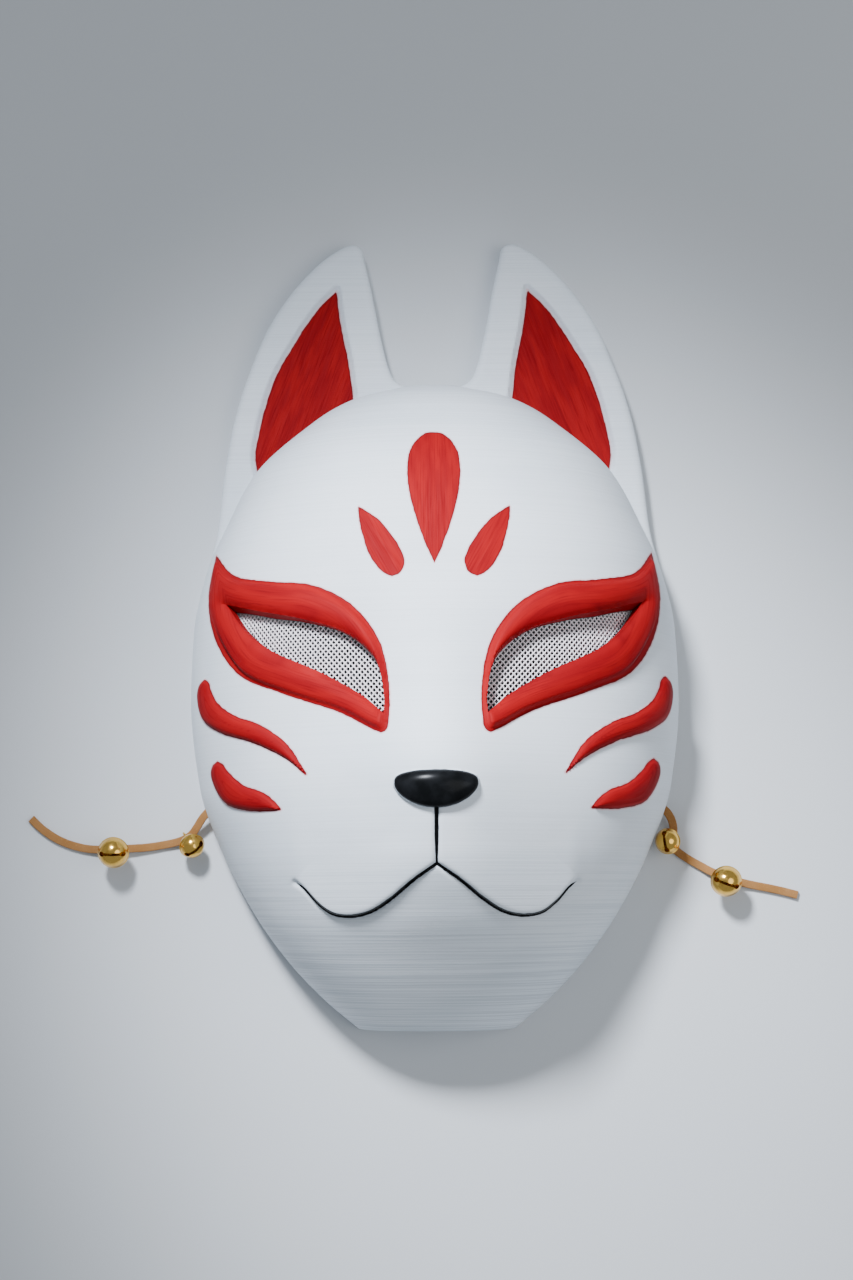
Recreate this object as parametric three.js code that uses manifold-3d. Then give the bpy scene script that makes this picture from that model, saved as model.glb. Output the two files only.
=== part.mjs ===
// A printed and hand-painted fox mask, lying face up on its flat back rim.
// X runs to the right as one looks at the face, +Y to the ears and +Z the way the face looks.
// The back rim lies in z = 0, under the middle of the mask's outline.
// It is a hollow face with a wire screen behind each eye opening. On each side a flat lace,
// knotted inside the rim, carries two jingle bells.

import * as THREE from "three";
import { mergeVertices } from "three/addons/utils/BufferGeometryUtils.js";
import Module from "manifold-3d";

const wasm = await Module();
wasm.setup();

// Driving dimensions, in millimetres

const FACE_HALF_WIDTH = 92;
const FACE_HEIGHT = 77;
const MUZZLE_SWELL = 22.5;
const MUZZLE_HALF_WIDTH = 39;
const CHIN_Y = -147.5;
const CROWN_Y = 94;
const WALL = 3;

// The cross sections of the face as shares of those sizes: place from chin to crown, half width,
// height of the middle, and the swell and half width of the muzzle that rises from it
const SECTION_SHARES = [
  [0, 0.3207, 0.3506, 0, 0.8718],
  [0.0435, 0.4565, 0.5065, 0.0444, 0.9231],
  [0.1056, 0.6087, 0.6753, 0.1778, 0.9744],
  [0.176, 0.7391, 0.8052, 0.4889, 1],
  [0.2712, 0.8696, 0.9026, 0.8444, 0.9744],
  [0.3706, 0.962, 0.9481, 1, 0.8718],
  [0.5072, 1, 0.9805, 0.4889, 0.6154],
  [0.6108, 0.9891, 1, 0.1333, 0.5128],
  [0.7019, 0.9402, 0.974, 0, 0.5128],
  [0.7805, 0.8533, 0.9091, 0, 0.5128],
  [0.8592, 0.7446, 0.7922, 0, 0.5128],
  [0.9296, 0.5489, 0.5974, 0, 0.5128],
  [0.9752, 0.3696, 0.3896, 0, 0.5128],
  [1, 0.163, 0.1558, 0, 0.5128],
];
const SIDE_FULLNESS = 2.3;
const OUTER_ROWS = 34;
const OUTER_COLUMNS = 26;
const INNER_ROWS = 18;
const INNER_COLUMNS = 16;

// Outlines on the front of the mask are drawn for a face of this half width, and follow it
const DRAWN_HALF_WIDTH = 92;
const fitted = (points) =>
  points.map(([x, ...rest]) => [(x * FACE_HALF_WIDTH) / DRAWN_HALF_WIDTH, ...rest]);

const EAR_THICK = 9;
const EAR_EDGE_ROUND = 1.5;
const EAR_RECESS_DEEP = 2.5;
const EAR_OUTLINE = fitted([
  [4, 93],
  [9, 94.4],
  [13.5, 96.5],
  [16.5, 101.5],
  [20, 115],
  [23, 131],
  [25.5, 142],
  [27, 147.2],
  [30.5, 148.5],
  [39, 144.5],
  [51, 133.5],
  [62, 118],
  [69.5, 101],
  [75, 84],
  [79, 63],
  [82, 38],
  [85.2, 25],
  [88.2, 13],
]);
const EAR_UNDER_FACE = fitted([
  [80, 8],
  [60, 50],
  [30, 80],
  [4, 86],
]);
const EAR_RECESS = fitted([
  [36, 131],
  [50, 116.5],
  [61, 91.5],
  [67.3, 65],
  [58, 60],
  [30, 82],
  [30.3, 93],
  [32.5, 112.5],
  [34.3, 130],
]);

// The painted lid round each eye opening, from its outer tip to the corner beside the nose
const LID_UPPER = fitted([
  [81, 27],
  [72.5, 16.5],
  [59, 12.4],
  [43, 9.8],
  [29, 2.5],
  [19.5, -10],
  [16, -26],
  [16.5, -39],
  [18.5, -42.7],
]);
const LID_LOWER = fitted([
  [81, 27],
  [83.2, 10.6],
  [79.8, -5.6],
  [70.2, -19.6],
  [53.5, -27.5],
  [33.3, -35],
  [18.5, -42.7],
]);
const EYE_UPPER = fitted([
  [75.2, 6.6],
  [64, 3],
  [46, -1.6],
  [31, -7],
  [20.8, -16.7],
  [17.8, -30],
  [18, -36],
]);
const EYE_LOWER = fitted([
  [75.2, 6.6],
  [67.5, -4.3],
  [58.5, -11.6],
  [38.2, -21.5],
  [24.5, -30],
  [18, -36],
]);
const LID_LIFT = 2.4;
const LID_AT_OPENING = 0.6;
const LID_OVER_OPENING = 1.6;

// The raised marks on each cheek, from the tip beside the rim to the tip beside the nose
const CHEEK_MARKS = [
  {
    outer: fitted([
      [84.3, -20],
      [87.3, -24.5],
      [85, -33.5],
      [78, -39],
      [63.7, -44.3],
      [52, -50.6],
      [45.6, -56],
    ]),
    inner: fitted([
      [84.3, -20],
      [82, -24.5],
      [78.5, -29.5],
      [71, -34.7],
      [63.6, -37.6],
      [53, -45],
      [45.6, -56],
    ]),
  },
  {
    outer: fitted([
      [79.5, -50.5],
      [81.5, -55],
      [76, -64.5],
      [66, -67.7],
      [55, -68],
    ]),
    inner: fitted([
      [79.5, -50.5],
      [75, -53.7],
      [67.5, -59.5],
      [61, -61.8],
      [55, -68],
    ]),
  },
];
const CHEEK_LIFT = 1.9;

// Raised pieces begin this far above the face at their edges, and their roots reach into its wall
const RAISED_EDGE = 0.2;
const RAISED_ROOT = 1.4;
// A power under 1 gives them steep sides and a flat back
const PILLOW = 0.6;
const EDGE_STEPS = 40;

const NOSE_HALF_WIDTH = 14.4;
const NOSE_TOP_Y = -56;
const NOSE_WIDEST_Y = -60.3;
const NOSE_POINT_Y = -69;
const NOSE_LIFT = 3.6;

// The line of the mouth, from the point under the nose to its corner
const MOUTH_LINE = fitted([
  [0, -87.7],
  [8.4, -93.5],
  [16, -99.7],
  [23, -104],
  [29.7, -105.6],
  [36.7, -104.7],
  [42, -101],
  [47, -95.7],
  [50.1, -93.6],
]);
const MOUTH_WIDE = 1.4;
const GROOVE_DEEP = 1.4;
const LIP_LIFT = 2.4;
const LIP_REACH = 24;

// Share of the mouth's line that lies below its drawn middle, and how far its cutter stands out
const MOUTH_LOWER_SHARE = 0.7;
const CUTTER_ABOVE = 5;
// The lips taper inwards and sink under the face at their far edge
const LIP_TAPER = 0.25;
const LIP_LEAST = 0.35;
const LIP_SINK = 0.5;

const SCREEN_THICK = 0.8;
const SCREEN_GAP = 1.1;
const SCREEN_SPREAD = 1.07;
// Share of the way from the opening's edge to the edge of the lid that a screen reaches
const SCREEN_REACH = 0.35;

const LACE_WIDE = 3;
const LACE_THICK = 1.5;
const LACE_CORNER = 0.35;
const LACE_HOLE = 4.4;
const LACE_HOLE_Y = -66;
const LACE_HOLE_Z = 6.2;
// The holes slant towards the chin by this angle, in radians
const LACE_HOLE_SLANT = 0.69;
const KNOT = { long: 4.6, wide: 6.4, high: 5.6 };

const BELL_WALL = 0.5;
const BELL_SLIT = 1;
const BELL_SLIT_HOLE = 1.9;
// Half length of the slit as a share of the bell's radius
const SLIT_REACH = 0.72;
const BELL_LIP = 0.35;
const LOOP_WIRE = 0.4;
const LOOP_RADIUS = 2.3;
const FLOOR_GAP = 0.05;

// Routes of the laces over the floor, from the knot to the bare end
const LACE_LEFT = fitted([
  [-80.5, -62.8, 6.2],
  [-84.4, -66, 6.2],
  [-87, -68.6, 5.7],
  [-89.3, -71.9, 4.2],
  [-91.3, -74.6, 2.9],
  [-93.4, -76.3, 2.3],
  [-97, -77.7, 1.2],
  [-102.3, -78.8, 0.85],
  [-108.3, -79.7, 1.1],
  [-114.4, -80.1, 1.8],
  [-120.1, -80.3, 2.3],
  [-126.5, -80.4, 1.3],
  [-130.9, -80.1, 0.85],
  [-136.6, -78.8, 0.8],
  [-142.6, -76.3, 0.8],
  [-148.2, -72.5, 0.8],
  [-152.3, -68.6, 0.8],
]);
const LACE_RIGHT = fitted([
  [80.5, -62.8, 6.2],
  [84.4, -66, 6.2],
  [86.9, -68.3, 5.8],
  [88.6, -71.4, 4.7],
  [89.2, -75, 3.2],
  [88.8, -78.6, 2.3],
  [90.2, -82, 1.3],
  [93.9, -84.9, 0.85],
  [99.2, -88, 0.85],
  [103.6, -90.4, 1.5],
  [108.4, -92.3, 2.3],
  [114, -94.2, 1.5],
  [119.5, -95.5, 0.85],
  [125, -96.6, 0.8],
  [130.3, -97.8, 0.8],
  [135.5, -99.2, 0.8],
]);
const BELLS = [
  { name: "bell_left_inner", radius: 4.5, loop: LACE_LEFT[5], heading: [-0.8, -0.6], aside: 3.85 },
  { name: "bell_left_outer", radius: 5.5, loop: LACE_LEFT[10], heading: [-1, 0], aside: 1.4 },
  { name: "bell_right_inner", radius: 4.5, loop: LACE_RIGHT[5], heading: [-0.14, 0.99], aside: 2.4 },
  { name: "bell_right_outer", radius: 5.5, loop: LACE_RIGHT[10], heading: [-0.94, 0.34], aside: 1.7 },
];

const whitePrint = () =>
  new THREE.MeshStandardMaterial({ color: 0xe4e7ea, roughness: 0.42, metalness: 0 });
const paleWire = () =>
  new THREE.MeshStandardMaterial({ color: 0xd9dcde, roughness: 0.5, metalness: 0.2 });
const tanSuede = () =>
  new THREE.MeshStandardMaterial({ color: 0xb08a62, roughness: 0.95, metalness: 0 });
const goldMetal = () =>
  new THREE.MeshStandardMaterial({ color: 0xd8ae55, roughness: 0.28, metalness: 1 });

// Solids

function toSolid(geometry) {
  const bare = geometry.index ? geometry.toNonIndexed() : geometry.clone();
  bare.deleteAttribute("normal");
  bare.deleteAttribute("uv");
  const merged = mergeVertices(bare, 1e-4);
  const index = merged.index.array;
  const kept = [];
  for (let i = 0; i < index.length; i += 3) {
    const [a, b, c] = [index[i], index[i + 1], index[i + 2]];
    if (a !== b && b !== c && c !== a) kept.push(a, b, c);
  }
  return new wasm.Manifold(
    new wasm.Mesh({
      numProp: 3,
      vertProperties: new Float32Array(merged.attributes.position.array),
      triVerts: new Uint32Array(kept),
    }),
  );
}

function toGeometry(solid) {
  const mesh = solid.getMesh();
  const geometry = new THREE.BufferGeometry();
  geometry.setAttribute("position", new THREE.BufferAttribute(mesh.vertProperties, 3));
  geometry.setIndex(new THREE.BufferAttribute(mesh.triVerts, 1));
  geometry.computeVertexNormals();
  return geometry;
}

function namedMesh(name, solid, material) {
  const mesh = new THREE.Mesh(toGeometry(solid), material);
  mesh.name = name;
  return mesh;
}

// A closed skin over rings of points that all have the same number; each end ring is flat.
function loft(rings) {
  const count = rings[0].length;
  const positions = rings.flat().flatMap((p) => [p.x, p.y, p.z]);
  const faces = [];
  for (let r = 0; r + 1 < rings.length; r++) {
    for (let i = 0; i < count; i++) {
      const next = (i + 1) % count;
      const [a, b] = [r * count + i, r * count + next];
      const [c, d] = [a + count, b + count];
      faces.push(a, b, d, a, d, c);
    }
  }
  const last = (rings.length - 1) * count;
  for (let i = 1; i + 1 < count; i++) {
    faces.push(0, i + 1, i);
    faces.push(last, last + i, last + i + 1);
  }
  const geometry = new THREE.BufferGeometry();
  geometry.setAttribute("position", new THREE.Float32BufferAttribute(positions, 3));
  geometry.setIndex(faces);
  return geometry;
}

// A closed slab over the unit square: both skins are grids that follow the place function.
// A ring has no ends: it closes on itself where u comes round to 1.
function slab(place, across, along, top, bottom, ring = false) {
  const columns = ring ? across : across + 1;
  const positions = [];
  for (const lift of [top, () => bottom]) {
    for (let j = 0; j <= along; j++) {
      for (let i = 0; i < columns; i++) {
        const [u, v] = [i / across, j / along];
        const p = place(u, v, lift(u, v));
        positions.push(p.x, p.y, p.z);
      }
    }
  }
  const at = (layer, i, j) => (layer * (along + 1) + j) * columns + (i % columns);
  const faces = [];
  const quad = (a, b, c, d) => faces.push(a, b, c, a, c, d);
  for (let j = 0; j < along; j++) {
    for (let i = 0; i < across; i++) {
      quad(at(0, i, j), at(0, i + 1, j), at(0, i + 1, j + 1), at(0, i, j + 1));
      quad(at(1, i, j), at(1, i, j + 1), at(1, i + 1, j + 1), at(1, i + 1, j));
    }
  }
  for (let i = 0; i < across; i++) {
    quad(at(0, i, 0), at(1, i, 0), at(1, i + 1, 0), at(0, i + 1, 0));
    quad(at(0, i, along), at(0, i + 1, along), at(1, i + 1, along), at(1, i, along));
  }
  for (let j = 0; j < along && !ring; j++) {
    quad(at(0, 0, j), at(0, 0, j + 1), at(1, 0, j + 1), at(1, 0, j));
    quad(at(0, across, j), at(1, across, j), at(1, across, j + 1), at(0, across, j + 1));
  }
  const geometry = new THREE.BufferGeometry();
  geometry.setAttribute("position", new THREE.Float32BufferAttribute(positions, 3));
  geometry.setIndex(faces);
  const solid = toSolid(geometry);
  return solid.volume() > 0 ? solid : toSolid(geometry.setIndex(faces.reverse()));
}

function prism(outline, fromZ, toZ) {
  const shape = new THREE.Shape(outline);
  const geometry = new THREE.ExtrudeGeometry(shape, { depth: toZ - fromZ, bevelEnabled: false });
  return toSolid(geometry.translate(0, 0, fromZ));
}

// Curves in the plane of the rim

function smoothCurve(points, steps) {
  const curve = new THREE.CatmullRomCurve3(
    points.map(([x, y]) => new THREE.Vector3(x, y, 0)),
    false,
    "centripetal",
  );
  return curve.getSpacedPoints(steps).map((p) => new THREE.Vector2(p.x, p.y));
}

function alongCurve(points, steps) {
  const samples = smoothCurve(points, steps);
  return (t) => {
    const place = THREE.MathUtils.clamp(t, 0, 1) * steps;
    const k = Math.min(Math.floor(place), steps - 1);
    return samples[k].clone().lerp(samples[k + 1], place - k);
  };
}

// The shape of the face

const SECTIONS = SECTION_SHARES.map(([place, half, height, swell, spread]) => ({
  y: CHIN_Y + (CROWN_Y - CHIN_Y) * place,
  half: FACE_HALF_WIDTH * half,
  height: FACE_HEIGHT * height,
  muzzle: MUZZLE_SWELL * swell,
  spread: MUZZLE_HALF_WIDTH * spread,
}));

// Value of one column of the sections at y, on a curve that never overshoots them
function sectionValue(column, y) {
  const rows = SECTIONS;
  const slope = (i) => (rows[i + 1][column] - rows[i][column]) / (rows[i + 1].y - rows[i].y);
  const tangent = (i) => {
    if (i === 0) return slope(0);
    if (i === rows.length - 1) return slope(i - 1);
    const [before, after] = [slope(i - 1), slope(i)];
    if (before * after <= 0) return 0;
    const [h0, h1] = [rows[i].y - rows[i - 1].y, rows[i + 1].y - rows[i].y];
    return (3 * (h0 + h1)) / ((2 * h1 + h0) / before + (h1 + 2 * h0) / after);
  };
  const clamped = THREE.MathUtils.clamp(y, rows[0].y, rows[rows.length - 1].y);
  let k = 0;
  while (k < rows.length - 2 && clamped > rows[k + 1].y) k++;
  const step = rows[k + 1].y - rows[k].y;
  const t = (clamped - rows[k].y) / step;
  return (
    (1 + 2 * t) * (1 - t) ** 2 * rows[k][column] +
    t * (1 - t) ** 2 * step * tangent(k) +
    t * t * (3 - 2 * t) * rows[k + 1][column] +
    t * t * (t - 1) * step * tangent(k + 1)
  );
}

// The same value drawn in by a wall's thickness, measured square to the curve
function insetValue(column, y, inset) {
  if (inset === 0) return sectionValue(column, y);
  const samples = 8;
  let least = Infinity;
  for (let i = -samples; i <= samples; i++) {
    const away = (inset * i) / samples;
    const value = sectionValue(column, y + away) - Math.sqrt(inset ** 2 - away ** 2);
    least = Math.min(least, value);
  }
  return least;
}

function faceHeight(x, y, inset = 0) {
  const half = insetValue("half", y, inset);
  const across = Math.min(Math.abs(x) / half, 1);
  const dome = insetValue("height", y, inset) * Math.sqrt(1 - across ** SIDE_FULLNESS);
  const muzzle = sectionValue("muzzle", y) * Math.exp(-((x / sectionValue("spread", y)) ** 2));
  return dome + muzzle * Math.sqrt(Math.sqrt(1 - across ** 4));
}

// A point on the face, moved out along the face's own normal
function facePoint(x, y, lift) {
  const step = 0.4;
  const slopeX = (faceHeight(x + step, y) - faceHeight(x - step, y)) / (2 * step);
  const slopeY = (faceHeight(x, y + step) - faceHeight(x, y - step)) / (2 * step);
  const normal = new THREE.Vector3(-slopeX, -slopeY, 1).normalize();
  return new THREE.Vector3(x, y, faceHeight(x, y)).addScaledVector(normal, lift);
}

function domeSolid(inset, rows, columns, floorZ) {
  const [fromY, toY] = [CHIN_Y + inset, CROWN_Y - inset];
  const rings = [];
  for (let r = 0; r <= rows; r++) {
    const t = r / rows;
    const eased = 0.5 - 0.5 * Math.cos(Math.PI * t);
    const y = fromY + (toY - fromY) * (0.45 * eased + 0.55 * t);
    const half = insetValue("half", y, inset);
    const ring = [];
    if (floorZ < 0) ring.push(new THREE.Vector3(-half, y, floorZ));
    for (let c = 0; c <= columns; c++) {
      const x = half * Math.sin(Math.PI * (c / columns - 0.5));
      ring.push(new THREE.Vector3(x, y, c % columns === 0 ? 0 : faceHeight(x, y, inset)));
    }
    if (floorZ < 0) ring.push(new THREE.Vector3(half, y, floorZ));
    rings.push(ring);
  }
  return toSolid(loft(rings));
}

const mirrored = (solid) => solid.mirror([1, 0, 0]);
const joined = (solids) => solids.reduce((all, next) => all.add(next));
const bothSides = (solid) => solid.add(mirrored(solid));

// Pieces of the mask

function ear() {
  const rim = smoothCurve(EAR_OUTLINE, 28);
  const under = EAR_UNDER_FACE.map(([x, y]) => new THREE.Vector2(x, y));
  const shape = new THREE.Shape([...rim, ...under]);
  const plate = new THREE.ExtrudeGeometry(shape, {
    depth: EAR_THICK - EAR_EDGE_ROUND,
    bevelEnabled: true,
    bevelThickness: EAR_EDGE_ROUND,
    bevelSize: EAR_EDGE_ROUND,
    bevelOffset: -EAR_EDGE_ROUND,
    bevelSegments: 2,
  });
  const whole = toSolid(plate).trimByPlane([0, 0, 1], 0);
  const recess = smoothCurve([...EAR_RECESS, EAR_RECESS[0]], 20).slice(0, -1);
  return whole.subtract(prism(recess, EAR_THICK - EAR_RECESS_DEEP, 2 * EAR_THICK));
}

// Runs there along one edge and back along the other as u goes from 0 to 1
function roundTrip(there, back) {
  const [out, home] = [alongCurve(there, EDGE_STEPS), alongCurve(back, EDGE_STEPS)];
  return (u) => (u < 0.5 ? out(2 * u) : home(2 - 2 * u));
}

// The swollen lid between the edge of the paint and the edge of the opening
function lid() {
  const outside = roundTrip(LID_UPPER, LID_LOWER);
  const inside = roundTrip(EYE_UPPER, EYE_LOWER);
  const place = (u, v, lift) => {
    const [far, near] = [outside(u), inside(u)];
    const inward = near.clone().sub(far).normalize();
    const p = far.lerp(near, v).addScaledVector(inward, v * LID_OVER_OPENING);
    return facePoint(p.x, p.y, lift);
  };
  const lift = (u, v) => {
    const swell = LID_LIFT * Math.sin(Math.PI * Math.min(v * 0.72 + 0.06, 1));
    return v === 1 ? LID_AT_OPENING : swell;
  };
  return slab(place, 28, 3, lift, -RAISED_ROOT, true);
}

function eyeOpening() {
  const upper = smoothCurve(EYE_UPPER, 14);
  const lower = smoothCurve(EYE_LOWER, 12).reverse();
  return prism([...upper, ...lower.slice(1, -1)], EAR_THICK, 2 * FACE_HEIGHT);
}

function cheekMark(mark) {
  const outer = alongCurve(mark.outer, EDGE_STEPS);
  const inner = alongCurve(mark.inner, EDGE_STEPS);
  const place = (u, v, lift) => {
    const p = outer(u).lerp(inner(u), v);
    return facePoint(p.x, p.y, lift);
  };
  const lift = (u, v) =>
    RAISED_EDGE + (CHEEK_LIFT - RAISED_EDGE) * Math.sin(Math.PI * v) ** PILLOW;
  return slab(place, 8, 3, lift, -RAISED_ROOT);
}

function nose() {
  const place = (u, v, lift) => {
    const angle = Math.PI * (u - 0.5);
    const x = NOSE_HALF_WIDTH * Math.sin(angle);
    const top = NOSE_WIDEST_Y + (NOSE_TOP_Y - NOSE_WIDEST_Y) * Math.cos(angle) ** 0.5;
    const low = NOSE_WIDEST_Y + (NOSE_POINT_Y - NOSE_WIDEST_Y) * Math.cos(angle) ** 1.3;
    return facePoint(x, top + (low - top) * v, lift);
  };
  const lift = (u, v) =>
    RAISED_EDGE + NOSE_LIFT * (Math.sin(Math.PI * v) * Math.sin(Math.PI * u)) ** PILLOW;
  return slab(place, 10, 4, lift, -RAISED_ROOT);
}

function mouthPoint(u) {
  const side = u < 0.5 ? -1 : 1;
  const p = mouthCurve(Math.abs(2 * u - 1));
  return new THREE.Vector2(side * p.x, p.y);
}

const mouthCurve = alongCurve(MOUTH_LINE, EDGE_STEPS);

// The swollen upper lip, which ends in a step at the line of the mouth
function upperLip() {
  const place = (u, v, lift) => {
    const p = mouthPoint(u);
    return facePoint(p.x * (1 - LIP_TAPER * v), p.y + v * LIP_REACH, lift);
  };
  const lift = (u, v) => {
    const lobes = Math.abs(Math.sin(2 * Math.PI * u)) ** 0.7;
    const high = LIP_LIFT * (LIP_LEAST + (1 - LIP_LEAST) * lobes) * (1 - v) ** 1.6;
    return high - LIP_SINK * v * (2 - lobes);
  };
  return slab(place, 18, 3, lift, -RAISED_ROOT);
}

function mouthGroove() {
  const place = (u, v, lift) => {
    const p = mouthPoint(u);
    const ahead = mouthPoint(Math.min(u + 0.01, 1)).sub(mouthPoint(Math.max(u - 0.01, 0)));
    const square = new THREE.Vector2(-ahead.y, ahead.x).normalize();
    const q = p.addScaledVector(square, (v - MOUTH_LOWER_SHARE) * MOUTH_WIDE);
    return facePoint(q.x, q.y, lift);
  };
  const line = slab(place, 18, 1, () => CUTTER_ABOVE, -GROOVE_DEEP);
  const [seamTop, seamLong] = [NOSE_POINT_Y + 1, MOUTH_LINE[0][1] - NOSE_POINT_Y];
  const seamPlace = (u, v, lift) =>
    facePoint((u - 0.5) * MOUTH_WIDE, seamTop + v * seamLong, lift);
  return line.add(slab(seamPlace, 1, 4, () => CUTTER_ABOVE, -GROOVE_DEEP));
}

function laceHole() {
  const bore = new THREE.CylinderGeometry(LACE_HOLE / 2, LACE_HOLE / 2, 16, 10);
  bore.rotateZ(Math.PI / 2 - LACE_HOLE_SLANT);
  const middle = sectionValue("half", LACE_HOLE_Y) - WALL / 2;
  return toSolid(bore.translate(middle, LACE_HOLE_Y, LACE_HOLE_Z));
}

const hollow = domeSolid(WALL, INNER_ROWS, INNER_COLUMNS, -2);

function mask() {
  const ears = bothSides(ear());
  const lids = bothSides(lid());
  const marks = bothSides(joined(CHEEK_MARKS.map(cheekMark)));
  const face = domeSolid(0, OUTER_ROWS, OUTER_COLUMNS, 0);
  const raised = joined([face, upperLip(), lids, marks, ears]);
  const carved = raised.subtract(mouthGroove()).add(nose());
  const cuts = joined([hollow, bothSides(eyeOpening()), bothSides(laceHole())]);
  return carved.subtract(cuts).trimByPlane([0, 0, 1], 0);
}

// A thin screen that lies along the hollow side of the face, wider than the opening all round
function eyeScreen() {
  const grown = (edge, paint) => {
    const [near, far] = [alongCurve(edge, EDGE_STEPS), alongCurve(paint, EDGE_STEPS)];
    return (u) => near(u).lerp(far(u), SCREEN_REACH);
  };
  const [upper, lower] = [grown(EYE_UPPER, LID_UPPER), grown(EYE_LOWER, LID_LOWER)];
  const place = (u, v, lift) => {
    const p = upper(u).lerp(lower(u), v);
    return facePoint(SCREEN_SPREAD * p.x, p.y, lift);
  };
  const sheet = slab(place, 12, 3, () => -WALL, -WALL - SCREEN_GAP - SCREEN_THICK);
  return sheet.intersect(domeSolid(WALL + SCREEN_GAP, INNER_ROWS, INNER_COLUMNS, -2));
}

// Laces

// A route whose cross section stays level, so that the flat lace lies flat
class LevelCurve extends THREE.CatmullRomCurve3 {
  computeFrenetFrames(segments) {
    const frames = { tangents: [], normals: [], binormals: [] };
    for (let i = 0; i <= segments; i++) {
      const tangent = this.getTangentAt(i / segments);
      const side = new THREE.Vector3(tangent.y, -tangent.x, 0).normalize();
      frames.tangents.push(tangent);
      frames.normals.push(side);
      frames.binormals.push(new THREE.Vector3().crossVectors(tangent, side));
    }
    return frames;
  }
}

function laceSection() {
  const [x, y] = [LACE_WIDE / 2, LACE_THICK / 2];
  const c = LACE_CORNER;
  const corners = [
    [x, y - c],
    [x - c, y],
    [c - x, y],
    [-x, y - c],
    [-x, c - y],
    [c - x, -y],
    [x - c, -y],
    [x, c - y],
  ];
  return new THREE.Shape(corners.map(([a, b]) => new THREE.Vector2(a, b)));
}

function lace(route) {
  const points = route.map((p) => new THREE.Vector3(...p));
  const path = new LevelCurve(points, false, "centripetal");
  const band = new THREE.ExtrudeGeometry(laceSection(), { steps: 20, extrudePath: path });
  const knot = new THREE.SphereGeometry(0.5, 8, 6);
  knot.scale(KNOT.long, KNOT.wide, KNOT.high).translate(...route[0]);
  return toSolid(band).add(toSolid(knot));
}

// Jingle bells

function ball(radius, around, over) {
  return toSolid(new THREE.SphereGeometry(radius, around, over).rotateX(Math.PI / 2));
}

// A bell about its own centre, its loop towards +Z and its slit towards -Z, along the lace
function bell(radius) {
  const lip = new THREE.CylinderGeometry(radius + BELL_LIP, radius + BELL_LIP, 2 * BELL_LIP, 12);
  const outside = ball(radius, 12, 8).add(toSolid(lip.rotateX(Math.PI / 2)));
  const loopWire = new THREE.TorusGeometry(LOOP_RADIUS, LOOP_WIRE, 5, 10);
  loopWire.rotateX(Math.PI / 2).translate(0, 0, radius + LOOP_RADIUS);
  const halfSlit = SLIT_REACH * radius;
  const slit = new THREE.BoxGeometry(BELL_SLIT, 2 * halfSlit, radius);
  slit.translate(0, 0, -radius);
  const holes = [-1, 1].map((side) => {
    const end = new THREE.CylinderGeometry(BELL_SLIT_HOLE / 2, BELL_SLIT_HOLE / 2, radius, 6);
    end.rotateX(Math.PI / 2).translate(0, side * halfSlit, -0.9 * radius);
    return toSolid(end);
  });
  const inside = ball(radius - BELL_WALL, 8, 6);
  return joined([outside, toSolid(loopWire)]).subtract(joined([inside, toSolid(slit), ...holes]));
}

// The bell stands on its loop over the lace that runs through it, and leans to one side of it
function placedBell({ name, radius, loop, heading, aside }) {
  const mesh = namedMesh(name, bell(radius), goldMetal());
  const reach = radius + LOOP_RADIUS;
  const lean = Math.asin(aside / reach);
  const along = new THREE.Vector3(heading[0], heading[1], 0).normalize();
  const outward = new THREE.Vector3(-along.y, along.x, 0);
  const toLoop = outward.clone().multiplyScalar(-Math.sin(lean)).setZ(-Math.cos(lean));
  const third = new THREE.Vector3().crossVectors(along, toLoop);
  const loopZ = LOOP_RADIUS * Math.cos(lean) + LOOP_WIRE + FLOOR_GAP;
  mesh.quaternion.setFromRotationMatrix(new THREE.Matrix4().makeBasis(third, along, toLoop));
  mesh.position.set(loop[0], loop[1], loopZ).addScaledVector(toLoop, -reach);
  return mesh;
}

const object = new THREE.Group();
object.add(namedMesh("mask", mask(), whitePrint()));
const screen = eyeScreen();
object.add(namedMesh("eye_screen_right", screen, paleWire()));
object.add(namedMesh("eye_screen_left", mirrored(screen), paleWire()));
object.add(namedMesh("lace_left", lace(LACE_LEFT), tanSuede()));
object.add(namedMesh("lace_right", lace(LACE_RIGHT), tanSuede()));
object.add(...BELLS.map(placedBell));

export default object;
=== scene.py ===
"""Dresses the printed and hand-painted fox mask: painted face, ears, wire screens, laces and bells.

The mask lies face up with its flat rim on the floor. +X is to the right as one looks at the face,
+Y is towards the ears and +Z is the way the face looks. Shapes are worked out in millimetres.
"""

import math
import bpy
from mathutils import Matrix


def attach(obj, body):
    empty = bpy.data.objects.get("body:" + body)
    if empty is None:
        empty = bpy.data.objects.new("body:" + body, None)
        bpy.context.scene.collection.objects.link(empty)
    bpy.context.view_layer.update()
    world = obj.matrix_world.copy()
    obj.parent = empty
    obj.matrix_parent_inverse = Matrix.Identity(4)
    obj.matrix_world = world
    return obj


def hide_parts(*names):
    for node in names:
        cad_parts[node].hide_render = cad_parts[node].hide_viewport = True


bl_info = {
    "name": "Painted fox mask",
    "version": (1, 0, 0),
    "blender": (4, 5, 0),
    "location": "View3D > Sidebar > Fox mask",
    "description": "Builds a printed and hand-painted fox mask with screened eyes, laces and bells",
    "category": "Object",
}

import bmesh
import bpy
import numpy as np
from bpy.props import FloatProperty, FloatVectorProperty, IntProperty, PointerProperty
from bpy.types import Operator, Panel, PropertyGroup
from mathutils import Matrix, Vector, noise
from mathutils.geometry import delaunay_2d_cdt

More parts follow.
